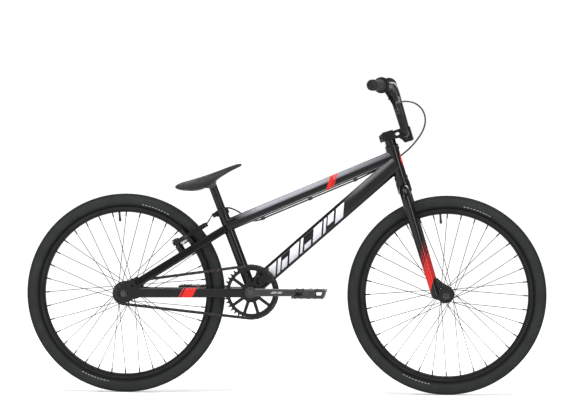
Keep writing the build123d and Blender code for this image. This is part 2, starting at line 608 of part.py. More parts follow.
def make_lever():
    out = (bar_axis(LEVER_Y - 20) - bar_axis(LEVER_Y)).normalized()
    middle = bar_axis(LEVER_Y)
    hole = rod(middle - out * 30, middle + out * 30, BAR_TUBE_R + WELD_GAP)
    clamp = rod(middle - out * 8, middle + out * 8, 15.5)
    body_plane = Plane(
        origin=middle + LEVER_DOWN * 38, x_dir=vec(0, 1, 0), z_dir=LEVER_DOWN
    )
    body = body_plane * Box(16, 13, 52)
    housing_exit = middle + LEVER_DOWN * CABLE_EXIT_DROP
    barrel = rod(housing_exit + vec(0, 6, 0), housing_exit + vec(0, 18, 0), 5.0)
    nose = rod(housing_exit + vec(0, 18, 0), housing_exit + vec(0, 23, 0), 3.6)
    wire_hole = rod(housing_exit + vec(0, 15, 0), housing_exit + vec(0, 40, 0), CABLE_R + RUN_GAP)
    pivot = middle + LEVER_DOWN * LEVER_PIVOT_DROP + vec(0, -4, 0)
    fork_slot = Plane(
        origin=pivot + LEVER_DOWN * 14 + vec(0, -3, 0), x_dir=vec(0, 1, 0), z_dir=LEVER_DOWN
    ) * Box(24, 7.0, 44)
    lever_clamp = cut(clamp + body, hole, fork_slot) + barrel + nose
    pin_run = LEVER_FORE * 9
    pivot_pin = rod(pivot - pin_run, pivot + pin_run, 2.5)
    pin_hole = rod(pivot - pin_run * 2, pivot + pin_run * 2, 2.5 + RUN_GAP)
    lever_clamp = cut(lever_clamp, pin_hole, wire_hole)
    keep("brake_lever_clamp", max(lever_clamp.solids(), key=lambda solid: solid.volume))
    keep("brake_lever_clamp", pivot_pin)

    # The blade is a flat bent bar that turns between the clamp's two cheeks.
    centre = [(0, 0), (-14, 14), (-34, 31), (-60, 38), (-88, 47)]
    half_width = [6.0, 6.0, 5.0, 4.2, 3.6]
    upper = []
    lower = []
    for (left, down), half in zip(centre, half_width):
        upper.append(pivot + vec(0, left, 0) + LEVER_DOWN * (down - half) + vec(0, -half * 0.5, 0))
        lower.append(pivot + vec(0, left, 0) + LEVER_DOWN * (down + half) + vec(0, half * 0.5, 0))
    start = -LEVER_FORE * 3.2
    edge = Polyline(*[point + start for point in upper + lower[::-1]], close=True)
    blade = extrude(make_face(edge), amount=6.4, dir=tuple(LEVER_FORE)).solid()
    blade += rod(pivot + start, pivot - start, 6.3)
    ball_at = pivot + vec(0, centre[-1][0], 0) + LEVER_DOWN * centre[-1][1]
    blade += Pos(ball_at.X, ball_at.Y, ball_at.Z) * Sphere(6.5)
    blade = cut(blade, pin_hole)
    keep("brake_lever", max(blade.solids(), key=lambda solid: solid.volume))
    return middle, housing_exit, pivot


make_headset()
make_fork()
make_stem()
make_handlebar()
LEVER_MIDDLE, HOUSING_EXIT, LEVER_PIVOT = make_lever()


# ---- wheels ----
TUBE_WALL = 1.0
NIPPLE_R = 2.0
FRONT_FLANGE_Y = 33.0
FRONT_FLANGE_HOLES_R = 19.0
REAR_FLANGE_LEFT_Y = 33.0
REAR_FLANGE_RIGHT_Y = -21.0
REAR_FLANGE_HOLES_R = 24.0
FLANGE_THICK = 3.0
ELBOW_R = 1.2
SPOKE_SIDE = FLANGE_THICK / 2 + SPOKE_R + 1.1
BEARING_R = 13.0
BEARING_THICK = 8.0


def turned(profile_points, hub):
    """A ring turned about a wheel's axle from a closed outline of (radius, left) points."""
    outline = Polyline(*[hub + vec(radius, left, 0) for radius, left in profile_points], close=True)
    return revolve(make_face(outline), axis=Axis(hub, vec(0, 1, 0))).solid()


def make_tyre(hub, name):
    seat_r = RIM_R - 6.0
    section_r = (TYRE_R + seat_r) / 2
    plane = Plane(origin=hub + vec(section_r, 0, 0), x_dir=(1, 0, 0), z_dir=(0, 0, 1))
    high = (TYRE_R - seat_r) / 2
    wide = TYRE_WIDTH / 2
    section = Ellipse(high, wide) - Ellipse(high - TYRE_WALL, wide - TYRE_WALL)
    bead_depth = RIM_R - seat_r + 3
    mouth = Pos(bead_depth / 2 - high - 1, 0) * Rectangle(bead_depth + 2, 13.0)
    flange_wide = (TYRE_WIDTH - 18.6) / 2
    beads = Pos(bead_depth / 2 - high, 0) * Rectangle(bead_depth, 18.6)
    outside = Pos(0, 9.3 + flange_wide / 2) * Rectangle(bead_depth - 3 + 0.2, flange_wide)
    outside += Pos(0, -9.3 - flange_wide / 2) * Rectangle(bead_depth - 3 + 0.2, flange_wide)
    outside = Pos((bead_depth - 3 + 0.2) / 2 - high, 0) * outside
    section = section + (beads - Ellipse(high - TYRE_WALL, wide - TYRE_WALL)) - mouth - outside
    face = (plane * section).faces().sort_by(lambda f: f.area)[-1]
    keep(name + "_tyre", revolve(face, axis=Axis(hub, vec(0, 1, 0))).solid())

    # A hollow butyl tube inside the tyre, with its valve through the rim.
    tube_r = high - TYRE_WALL - 1.4
    tube_centre = section_r + 0.6
    tube_plane = Plane(origin=hub + vec(tube_centre, 0, 0), x_dir=(1, 0, 0), z_dir=(0, 0, 1))
    skin_section = tube_plane * (Circle(tube_r) - Circle(tube_r - TUBE_WALL))
    skin = revolve(skin_section, axis=Axis(hub, vec(0, 1, 0)))
    valve_turn = radians(95.0)
    valve_dir = vec(cos(valve_turn), 0, sin(valve_turn))
    valve_foot = tube_centre - tube_r - SEAT_GAP
    valve = rod(hub + valve_dir * (RIM_INNER_R - 24), hub + valve_dir * valve_foot, 3.2)
    cap = rod(hub + valve_dir * (RIM_INNER_R - 28), hub + valve_dir * (RIM_INNER_R - 16), 3.9)
    keep(name + "_inner_tube", skin, valve + cap)
    return rod(hub, hub + valve_dir * TYRE_R, 4.2)


def spoke_lines(hub, flanges, holes_r):
    """Each spoke's hub end and rim end. Every second spoke leans the other way, crossing three."""
    lines = []
    per_side = SPOKE_COUNT // 2
    step = 360 / per_side
    reach = RIM_INNER_R - 1.0
    for side, flange_y in enumerate(flanges):
        for index in range(per_side):
            hub_turn = index * step + side * step / 2
            lean = 60 if index % 2 == 0 else -60
            left = flange_y + (SPOKE_SIDE if index % 2 == 0 else -SPOKE_SIDE)
            hub_x, hub_z = polar(hub.X, hub.Z, holes_r, hub_turn)
            rim_x, rim_z = polar(hub.X, hub.Z, reach, hub_turn + lean)
            lines.append((vec(hub_x, left, hub_z), vec(rim_x, 0, rim_z), flange_y))
    return lines


def make_wheel(name, hub, flanges, holes_r, barrel, barrel_r, core_r=None):
    """One wheel: tyre, tube, rim, laced spokes with nipples, hub shell and bearings."""
    valve_hole = make_tyre(hub, name)
    half = RIM_WIDTH / 2
    floor_r = RIM_R - 8.5
    outer = [(RIM_INNER_R, -7), (RIM_INNER_R + 3, -half), (RIM_R, -half), (RIM_R, -half + RIM_WALL)]
    outer += [(floor_r + 2.2, -half + RIM_WALL), (floor_r, -7), (floor_r, 7)]
    outer += [(floor_r + 2.2, half - RIM_WALL), (RIM_R, half - RIM_WALL), (RIM_R, half)]
    outer += [(RIM_INNER_R + 3, half), (RIM_INNER_R, 7)]
    chamber = [(RIM_INNER_R + 1.6, -6), (RIM_INNER_R + 4, -half + RIM_WALL)]
    chamber += [(floor_r - 1.5, -half + RIM_WALL), (floor_r - 1.5, half - RIM_WALL)]
    chamber += [(RIM_INNER_R + 4, half - RIM_WALL), (RIM_INNER_R + 1.6, 6)]
    rim = turned(outer, hub) - turned(chamber, hub) - valve_hole

    spokes = []
    nipples = []
    lines = spoke_lines(hub, flanges, holes_r)
    for hub_end, rim_end, flange_y in lines:
        run = (rim_end - hub_end).normalized()
        nipple_low = rim_end - run * 12
        spoke = rod(hub_end - run * 0.8, nipple_low - run * WELD_GAP, SPOKE_R)
        nipples.append(rod(nipple_low, rim_end + run * 4.5, NIPPLE_R))
        rim = rim - rod(rim_end - run * 8, rim_end + run * 9, NIPPLE_R + WELD_GAP)
        inward = vec(0, -1 if hub_end.Y > flange_y else 1, 0)
        through = SPOKE_SIDE + FLANGE_THICK / 2 + WELD_GAP
        elbow = rod(hub_end - inward * 0.8, hub_end + inward * (through + 0.5), ELBOW_R)
        button = rod(hub_end + inward * through, hub_end + inward * (through + 1.2), 1.9)
        spokes.append(spoke + elbow + button)
    keep(name + "_rim", max(rim.solids(), key=lambda solid: solid.volume))
    keep(name + "_spokes", *spokes)
    keep(name + "_spokes", *nipples)

    low, high = barrel
    shell = disc(hub.X, hub.Z, barrel_r, low, high)
    shell += disc(hub.X, hub.Z, BEARING_R + 2.5, low, low + BEARING_THICK + 3)
    shell += disc(hub.X, hub.Z, BEARING_R + 2.5, high - BEARING_THICK - 3, high)
    for flange_y in flanges:
        shell += disc(
            hub.X, hub.Z, holes_r + 3.2, flange_y - FLANGE_THICK / 2, flange_y + FLANGE_THICK / 2
        )
    if core_r:
        shell += disc(hub.X, hub.Z, core_r, low - 14, low)
        low -= 14
    shell -= disc(hub.X, hub.Z, AXLE_R + 1.5, low - 1, high + 1)
    pockets = [(high - BEARING_THICK, high + 1), (low - 1, low + BEARING_THICK)]
    for pocket_low, pocket_high in pockets:
        shell -= disc(hub.X, hub.Z, BEARING_R - 1.5, pocket_low, pocket_high)
    for hub_end, _, flange_y in lines:
        side = vec(0, 4, 0)
        middle = vec(hub_end.X, flange_y, hub_end.Z)
        shell -= rod(middle - side, middle + side, ELBOW_R + WELD_GAP)
    keep(name + "_hub", max(shell.solids(), key=lambda solid: solid.volume))
    bearings = [
        ring(hub.X, hub.Z, BEARING_R - 1.5 - WELD_GAP, AXLE_R + RUN_GAP, high - 7.8, high - 0.4),
        ring(hub.X, hub.Z, BEARING_R - 1.5 - WELD_GAP, AXLE_R + RUN_GAP, low + 0.4, low + 7.8),
    ]
    keep(name + "_hub", *bearings)


NUT_REACH = 11.5


def make_axle(name, hub, half_width, barrel):
    """An axle with its cones against the dropouts' inner faces, washers and nuts outside them."""
    outside = half_width + DROPOUT_THICK
    thread = outside + NUT_REACH
    tip = thread + AXLE_END_LENGTH
    keep(name + "_axle", disc(hub.X, hub.Z, AXLE_R, -thread, thread) + disc(hub.X, hub.Z, AXLE_END_R, -tip, tip))
    hardware = []
    low, high = barrel
    for side, start in ((1, high), (-1, -low)):
        spacer_low, spacer_high = start + FACE_GAP, half_width - WELD_GAP
        nut_low = outside + WELD_GAP
        hexagon = Plane(
            origin=(hub.X, side * (nut_low + 2), hub.Z), x_dir=(1, 0, 0), z_dir=(0, side, 0)
        ) * RegularPolygon(8.5, 6)
        nut = extrude(hexagon, 9)
        flat = disc(hub.X, hub.Z, 10.5, min(side * nut_low, side * (nut_low + 2)),
                    max(side * nut_low, side * (nut_low + 2)))
        nut = (nut + flat) - disc(hub.X, hub.Z, AXLE_R + WELD_GAP, -120, 120)
        bounds = sorted((side * spacer_low, side * spacer_high))
        hardware.append(ring(hub.X, hub.Z, 8.0, AXLE_R + WELD_GAP, *bounds))
        hardware.append(nut)
    keep(name + "_axle", *hardware)


make_wheel(
    "front", FRONT_HUB, (FRONT_FLANGE_Y, -FRONT_FLANGE_Y), FRONT_FLANGE_HOLES_R, (-38, 38), 11.0
)
make_axle("front", FRONT_HUB, FRONT_OLN / 2, (-38, 38))
CORE_R = 14.5
make_wheel(
    "rear",
    REAR_HUB,
    (REAR_FLANGE_LEFT_Y, REAR_FLANGE_RIGHT_Y),
    REAR_FLANGE_HOLES_R,
    (-24, 38),
    13.0,
    CORE_R,
)
make_axle("rear", REAR_HUB, REAR_OLN / 2, (-50, 38))


# ---- drive ----
CHAIN_Y = -CHAINLINE
PLATE_HALF = 4.2
INNER_FACE = 1.75
INNER_PLATE = 1.05
OUTER_FACE = 2.95
OUTER_PLATE = 1.05
PIN_R = 1.8
RING_WINDOW_IN = 31.0
RING_WINDOW_OUT = 65.0
RING_ARMS = 10
COG_BORE_R = 23.0


def toothed(x, z, teeth, pitch_r, phase_deg, thick):
    """A toothed disc on the chain line, with a seat for a roller at each pitch point."""
    disc_face = Circle(pitch_r + 3.6)
    seat_r = ROLLER_R + CHAIN_GAP
    gap = Circle(seat_r)
    flare = Polyline((0, -seat_r + 0.05), (6, -seat_r - 1.6), (6, seat_r + 1.6), (0, seat_r - 0.05),
                     close=True)
    gap = gap + make_face(flare)
    cuts = []
    for index in range(teeth):
        turn = phase_deg + index * 360 / teeth
        cuts.append(Rot(0, 0, turn) * Pos(pitch_r, 0) * gap)
    face = disc_face - cuts
    plane = Plane(origin=(x, CHAIN_Y + thick / 2, z), x_dir=(1, 0, 0), z_dir=(0, -1, 0))
    return extrude(plane * face, thick).solid()


def chain_pins():
    """The chain's pins in order: round the chainring, along the top, round the cog, and back."""
    pins = []
    for index in range(RING_PINS):
        pins.append(polar(BB.X, BB.Z, RING_PITCH_R, CHAIN_TILT - RING_HALF_WRAP + index * RING_STEP))
    cog = []
    for index in range(COG_PINS):
        cog.append(polar(REAR_HUB.X, REAR_HUB.Z, COG_PITCH_R,
                         CHAIN_TILT + COG_HALF_WRAP + index * COG_STEP))
    ends = [(pins[-1], cog[0]), (cog[-1], pins[0])]
    runs = []
    for start, end in ends:
        run = []
        for index in range(1, RUN_LINKS):
            share = index / RUN_LINKS
            run.append(tuple(a + (b - a) * share for a, b in zip(start, end)))
        runs.append(run)
    return pins + runs[0] + cog + runs[1]


def link_plate(start, end, y_low, y_high, half):
    """A flat chain plate with round ends."""
    direction = (vec(end[0], 0, end[1]) - vec(start[0], 0, start[1])).normalized()
    middle = vec((start[0] + end[0]) / 2, y_low, (start[1] + end[1]) / 2)
    length = vec(end[0] - start[0], 0, end[1] - start[1]).length
    plane = Plane(origin=middle, x_dir=direction, z_dir=vec(0, 1, 0))
    return extrude(plane * SlotCenterToCenter(length, 2 * half), y_high - y_low)


def make_chain():
    pins = chain_pins()
    inner_links = []
    outer_links = []
    inner_out = INNER_FACE + INNER_PLATE
    outer_out = OUTER_FACE + OUTER_PLATE
    for index, start in enumerate(pins):
        end = pins[(index + 1) % len(pins)]
        if index % 2 == 0:
            link = link_plate(start, end, CHAIN_Y + INNER_FACE, CHAIN_Y + inner_out, PLATE_HALF)
            link += link_plate(start, end, CHAIN_Y - inner_out, CHAIN_Y - INNER_FACE, PLATE_HALF)
            for x, z in (start, end):
                link += disc(x, z, ROLLER_R, CHAIN_Y - INNER_FACE, CHAIN_Y + INNER_FACE)
            for x, z in (start, end):
                link -= disc(x, z, PIN_R + RUN_GAP, CHAIN_Y - 9, CHAIN_Y + 9)
            inner_links.append(link)
        else:
            link = link_plate(start, end, CHAIN_Y + OUTER_FACE, CHAIN_Y + outer_out, PLATE_HALF - 0.2)
            link += link_plate(start, end, CHAIN_Y - outer_out, CHAIN_Y - OUTER_FACE, PLATE_HALF - 0.2)
            for x, z in (start, end):
                link += disc(x, z, PIN_R, CHAIN_Y - outer_out - 0.4, CHAIN_Y + outer_out + 0.4)
            outer_links.append(link)
    keep("chain_inner_links", *inner_links)
    keep("chain_outer_links", *outer_links)


def make_cranks():
    ring_blank = toothed(BB.X, BB.Z, RING_TEETH, RING_PITCH_R,
                         CHAIN_TILT - RING_HALF_WRAP, RING_THICK)
    plane = Plane(origin=(BB.X, CHAIN_Y + 10, BB.Z), x_dir=(1, 0, 0), z_dir=(0, -1, 0))
    windows = []
    arm_step = 360 / RING_ARMS
    arm_half_in = degrees(asin(5.0 / RING_WINDOW_IN))
    arm_half_out = degrees(asin(4.6 / RING_WINDOW_OUT))
    for index in range(RING_ARMS):
        low_in = index * arm_step + arm_half_in
        high_in = (index + 1) * arm_step - arm_half_in
        low_out = index * arm_step + arm_half_out
        high_out = (index + 1) * arm_step - arm_half_out
        middle = (low_in + high_in) / 2
        inner = [polar(0, 0, RING_WINDOW_IN, turn) for turn in (high_in, middle, low_in)]
        outer = [polar(0, 0, RING_WINDOW_OUT, turn) for turn in (low_out, middle, high_out)]
        edge = [ThreePointArc(*inner), Line(inner[2], outer[0]), ThreePointArc(*outer)]
        edge.append(Line(outer[2], inner[0]))
        window = make_face(Wire(edge))
        windows.append(fillet(window.vertices(), 2.2))
    window_solid = extrude(plane * (Sketch() + windows), 20)
    spindle_r = 9.5
    ring_piece = cut(ring_blank, window_solid, disc(BB.X, BB.Z, spindle_r + RUN_GAP, -60, 0))
    peg_at = (BB.X + 20, BB.Z)
    peg_hole = disc(*peg_at, 4.0 + RUN_GAP, -60, -30)
    keep("chainring", cut(ring_piece, peg_hole))

    arm_outer = CRANK_INNER_Y + CRANK_THICK
    spindle = disc(BB.X, BB.Z, spindle_r, -arm_outer + 2, arm_outer - 2)
    bolt_bore = disc(BB.X, BB.Z, 4.0 + RUN_GAP, -arm_outer, -arm_outer + 20)
    bolt_bore += disc(BB.X, BB.Z, 4.0 + RUN_GAP, arm_outer - 20, arm_outer)
    keep("crank_spindle", spindle - bolt_bore)

    ring_out = CHAIN_Y - RING_THICK / 2
    arms = []
    bolts = []
    for side, reach in ((-1, CRANK_LENGTH), (1, -CRANK_LENGTH)):
        low, high = sorted((side * CRANK_INNER_Y, side * arm_outer))
        forward = 1 if reach > 0 else -1
        outline = [
            (BB.X, BB.Z + 12), (BB.X + reach, BB.Z + 10.3), (BB.X + reach, BB.Z - 10.3),
            (BB.X, BB.Z - 12),
        ]
        arm = side_plate(outline, low, high)
        arm = chamfer(arm.edges().filter_by(Axis.X, tolerance=3), 3)
        arm += disc(BB.X + reach, BB.Z, 13.0, low, high)
        arm += disc(BB.X, BB.Z, 17.0, low, high)
        if side < 0:
            boss_low, boss_high = -CRANK_INNER_Y, ring_out - WELD_GAP
            arm += disc(BB.X, BB.Z, 14.5, boss_low, boss_high)
            arm += disc(*peg_at, 7.0, boss_low, boss_high)
            arm += disc(*peg_at, 4.0, boss_high, ring_out + RING_THICK)
        arm -= disc(BB.X, BB.Z, spindle_r + RUN_GAP, -arm_outer + 1.99, arm_outer - 1.99)
        arm -= disc(BB.X, BB.Z, 9.0, *sorted((side * (arm_outer - 3), side * (arm_outer + 1))))
        arm -= disc(BB.X + reach, BB.Z, 7.0 + RUN_GAP, low - 1, high + 1)
        arms.append(arm)
        bolt = disc(BB.X, BB.Z, 4.0, *sorted((side * (arm_outer - 19), side * (arm_outer - 2))))
        bolt += disc(BB.X, BB.Z, 8.6, *sorted((side * (arm_outer - 1.9), side * (arm_outer + 0.8))))
        bolt += disc(BB.X, BB.Z, 4.0, *sorted((side * (arm_outer - 2), side * (arm_outer - 1.5))))
        socket = disc(BB.X, BB.Z, 4.2, *sorted((side * (arm_outer - 0.4), side * (arm_outer + 2))))
        bolts.append(bolt - socket)
    keep("right_crank_arm", arms[0])
    keep("left_crank_arm", arms[1])
    keep("crank_bolts", *bolts)

    half = BB_SHELL_WIDTH / 2
    seat_r = BB_SHELL_R - 3.0 - WELD_GAP
    bearings = [
        ring(BB.X, BB.Z, seat_r, spindle_r + RUN_GAP, half - 9, half - 1),
        ring(BB.X, BB.Z, seat_r, spindle_r + RUN_GAP, 1 - half, 9 - half),
    ]
    keep("bottom_bracket_bearings", *bearings)
    covers = [
        ring(BB.X, BB.Z, BB_SHELL_R - 1, spindle_r + FACE_GAP, half + WELD_GAP, half + 3),
        ring(BB.X, BB.Z, BB_SHELL_R - 1, spindle_r + FACE_GAP, -half - 3, -half - WELD_GAP),
    ]
    keep("bottom_bracket_bearings", *covers)
    spacers = [
        ring(BB.X, BB.Z, 13.0, spindle_r + RUN_GAP, half + 3 + FACE_GAP, CRANK_INNER_Y - WELD_GAP),
        ring(BB.X, BB.Z, 13.0, spindle_r + RUN_GAP, ring_out + RING_THICK + WELD_GAP,
             -half - 3 - FACE_GAP),
    ]
    keep("crank_spindle", *spacers)


def make_freewheel():
    cog = toothed(REAR_HUB.X, REAR_HUB.Z, COG_TEETH, COG_PITCH_R,
                  CHAIN_TILT + COG_HALF_WRAP, RING_THICK)
    cog += disc(REAR_HUB.X, REAR_HUB.Z, COG_BORE_R + 3.6, CHAIN_Y - 4.6, CHAIN_Y + 4.6)
    cog -= disc(REAR_HUB.X, REAR_HUB.Z, COG_BORE_R, -60, 0)
    keep("freewheel_cog", cog)
    core_low, core_high = CHAIN_Y - 6.0, CHAIN_Y + 6.5
    core = ring(REAR_HUB.X, REAR_HUB.Z, COG_BORE_R - RUN_GAP, CORE_R + WELD_GAP, core_low, core_high)
    for turn in (45, 135, 225, 315):
        x, z = polar(REAR_HUB.X, REAR_HUB.Z, 18.7, turn)
        core -= disc(x, z, 1.8, core_low - 1, core_low + 4)
    keep("rear_hub", core)


def make_pedals():
    for name, side, reach in (("right", -1, CRANK_LENGTH), ("left", 1, -CRANK_LENGTH)):
        x = BB.X + reach
        arm_outer = CRANK_INNER_Y + CRANK_THICK
        body_in = arm_outer + 13.0
        body_out = body_in + PEDAL_WIDTH

        def span(near, far):
            return sorted((side * near, side * far))

        spindle = disc(x, BB.Z, 7.0, *span(CRANK_INNER_Y + 1, arm_outer))
        spindle += disc(x, BB.Z, 9.0, *span(arm_outer + WELD_GAP, arm_outer + 9))
        spindle += disc(x, BB.Z, 7.0, *span(arm_outer, arm_outer + 1))
        spindle += disc(x, BB.Z, 6.0, *span(arm_outer + 9, body_out - 6))
        keep("pedal_spindles", spindle)

        half_l, half_h, lean = PEDAL_LENGTH / 2, PEDAL_HEIGHT / 2, 6.0
        forward = 1 if side < 0 else -1
        outer = [(-half_l + 6, half_h), (half_l, half_h), (half_l - 9, -half_h), (-half_l, -half_h)]
        outer = [(x + forward * along, BB.Z + up) for along, up in outer]
        body = side_plate(outer, *span(body_in, body_out))
        pockets = []
        window = [(18, half_h - 6), (half_l - 11, half_h - 6), (half_l - 17, -half_h + 6),
                  (18, -half_h + 6)]
        back = [(-half_l + 12, half_h - 6), (-18, half_h - 6), (-18, -half_h + 6),
                (-half_l + 7, -half_h + 6)]
        for shape in (window, back):
            points = [(x + forward * along, BB.Z + up) for along, up in shape]
            body -= side_plate(points, *span(body_in - 5, body_out + 5))
        bay_low, bay_high = span(body_in + 9, body_out - 9)
        for along_low, along_high in ((-half_l + 13, -15), (15, half_l - 13)):
            xs = sorted((x + forward * along_low, x + forward * along_high))
            body -= box_between((xs[0], bay_low, BB.Z - 60), (xs[1], bay_high, BB.Z + 60))
        body += disc(x, BB.Z, half_h + 1.2, *span(body_in, body_in + 8))
        body += disc(x, BB.Z, half_h + 1.2, *span(body_out - 8, body_out))
        body -= disc(x, BB.Z, 6.0 + RUN_GAP, *span(body_in - 1, body_out - 5))
        studs = []
        for along in (-half_l + 12, -half_l + 30, half_l - 32, half_l - 12):
            for across in (body_in + 4.5, body_out - 4.5):
                at = vec(x + forward * along, side * across, BB.Z)
                for up in (-1, 1):
                    tip = at + vec(0, 0, up * (half_h + 2.2))
                    studs.append(cone(at + vec(0, 0, up * (half_h - 1)), tip, 2.0, 1.4))
        for stud in studs:
            body += stud
        keep(f"{name}_pedal", max(body.solids(), key=lambda solid: solid.volume))


make_chain()
make_cranks()
make_freewheel()
make_pedals()


# ---- rear brake ----
ARM_TIP = 98.0
ARM_LOW, ARM_HIGH = -5.5, 7.5
PAD_R = RIM_R - 8.0
PAD_GAP = 2.6
PAD_LENGTH = 54.0


def brake_point(along, left):
    """A point in the plane that the brake arms turn in."""
    return BRAKE_PIVOT + STAY_UP * along + vec(0, left - BOSS_Y, 0)


def pad_distance():
    """How far along the arm its plane crosses the middle of the rim's braking track."""
    offset = BRAKE_PIVOT - REAR_HUB
    offset = vec(offset.X, 0, offset.Z)
    lead = offset.dot(STAY_UP)
    return sqrt(PAD_R**2 - offset.length**2 + lead**2) - lead


PAD_ALONG = pad_distance()


def make_brake():
    centre = [(-9, 0), (0, 0), (PAD_ALONG, 4), (70, 1.5), (ARM_TIP + 6, -5)]
    half_width = [5.5, 8.5, 8.0, 5.5, 6.0]
    edge = []
    for (along, left), half in zip(centre, half_width):
        edge.append(brake_point(along, BOSS_Y + left + half))
    for (along, left), half in list(zip(centre, half_width))[::-1]:
        edge.append(brake_point(along, BOSS_Y + left - half))
    low = STAY_OUT * ARM_LOW
    outline = Polyline(*[point + low for point in edge], close=True)
    thick = ARM_HIGH - ARM_LOW
    arm = extrude(make_face(outline), amount=thick, dir=tuple(STAY_OUT)).solid()
    arm = chamfer(arm.edges().filter_by(lambda e: abs(e.tangent_at(0).dot(STAY_OUT)) > 0.99), 1.5)
    arm += rod(BRAKE_PIVOT + STAY_OUT * ARM_LOW, BRAKE_PIVOT + STAY_OUT * ARM_HIGH, 9.0)
    arm -= rod(BRAKE_PIVOT - STAY_OUT * 20, BRAKE_PIVOT + STAY_OUT * 20, BOSS_R + RUN_GAP)

    post_at = brake_point(PAD_ALONG, BOSS_Y)
    post_out = BOSS_Y + 4 + 8
    arm -= rod(vec(post_at.X, 10, post_at.Z), vec(post_at.X, 80, post_at.Z), 3.5 + WELD_GAP)
    tip_at = brake_point(ARM_TIP, BOSS_Y) + STAY_OUT * 1.0
    noodle_hole = rod(vec(tip_at.X, 0, tip_at.Z), vec(tip_at.X, 80, tip_at.Z), NOODLE_R + WELD_GAP)
    wire_hole = rod(vec(tip_at.X, 0, tip_at.Z), vec(tip_at.X, 80, tip_at.Z), WIRE_R + 0.2)
    keep("left_brake_arm", arm - noodle_hole)
    anchor_at = brake_point(ARM_TIP, BOSS_Y - 5)
    keep("right_brake_arm", mirrored(arm - wire_hole))

    radial = vec(post_at.X - REAR_HUB.X, 0, post_at.Z - REAR_HUB.Z).normalized()
    along_rim = radial.cross(vec(0, 1, 0))
    face_y = RIM_WIDTH / 2 + PAD_GAP
    block_plane = Plane(
        origin=vec(post_at.X, face_y + 4.5, post_at.Z), x_dir=along_rim, z_dir=vec(0, 1, 0)
    )
    block = extrude(block_plane * RectangleRounded(PAD_LENGTH, 8.6, 3), 4.5, both=True)
    post_foot = face_y + 9 + WELD_GAP
    post = rod(vec(post_at.X, post_foot, post_at.Z), vec(post_at.X, post_out + 9, post_at.Z), 3.5)
    washer = ring(post_at.X, post_at.Z, 6.5, 3.5 + WELD_GAP, post_out + WELD_GAP, post_out + 5.5)
    collar = disc(post_at.X, post_at.Z, 5.5, post_foot, BOSS_Y + 4 - 8 - 1.2)
    keep("left_brake_pad", block)
    keep("right_brake_pad", mirrored(block))
    keep("left_brake_pad", post + collar, washer)
    keep("right_brake_pad", mirrored(post + collar), mirrored(washer))

    head_low = BRAKE_PIVOT + STAY_OUT * (9 + WELD_GAP)
    pivot_bolt = rod(head_low, head_low + STAY_OUT * 4, 7.0)
    pivot_bolt -= rod(head_low + STAY_OUT * 1.5, head_low + STAY_OUT * 5, 2.5)
    keep("brake_pivot_bolts", pivot_bolt, mirrored(pivot_bolt))
    return tip_at


# ---- brake cable ----
TOP_SLOPE = (TOP_TUBE_FRONT - TOP_TUBE_REAR).Z / (TOP_TUBE_FRONT - TOP_TUBE_REAR).X
TOP_SLANT = cos(atan2(TOP_SLOPE, 1))
TOP_DIR = (TOP_TUBE_FRONT - TOP_TUBE_REAR).normalized()


def beside_top(x, left, below):
    """A point a given height below the top tube's centre line (negative is above it)."""
    return vec(x, left, TOP_TUBE_REAR.Z + (x - TOP_TUBE_REAR.X) * TOP_SLOPE - below)


UNDER_TOP = (TOP_TUBE_HEIGHT / 2 + CABLE_R + 1.2) / TOP_SLANT
SIDE_TOP = TOP_TUBE_WIDTH / 2 + CABLE_R + 1.2


def by_head(x, left, up):
    """A point at a distance ahead of and above the head tube's foot."""
    return vec(HEAD_BOTTOM.X + x, left, HEAD_BOTTOM.Z + up)


def by_seat(x, left, up):
    """A point at a distance ahead of and above the top tube's rear end."""
    return vec(TOP_TUBE_REAR.X + x, left, TOP_TUBE_REAR.Z + up)


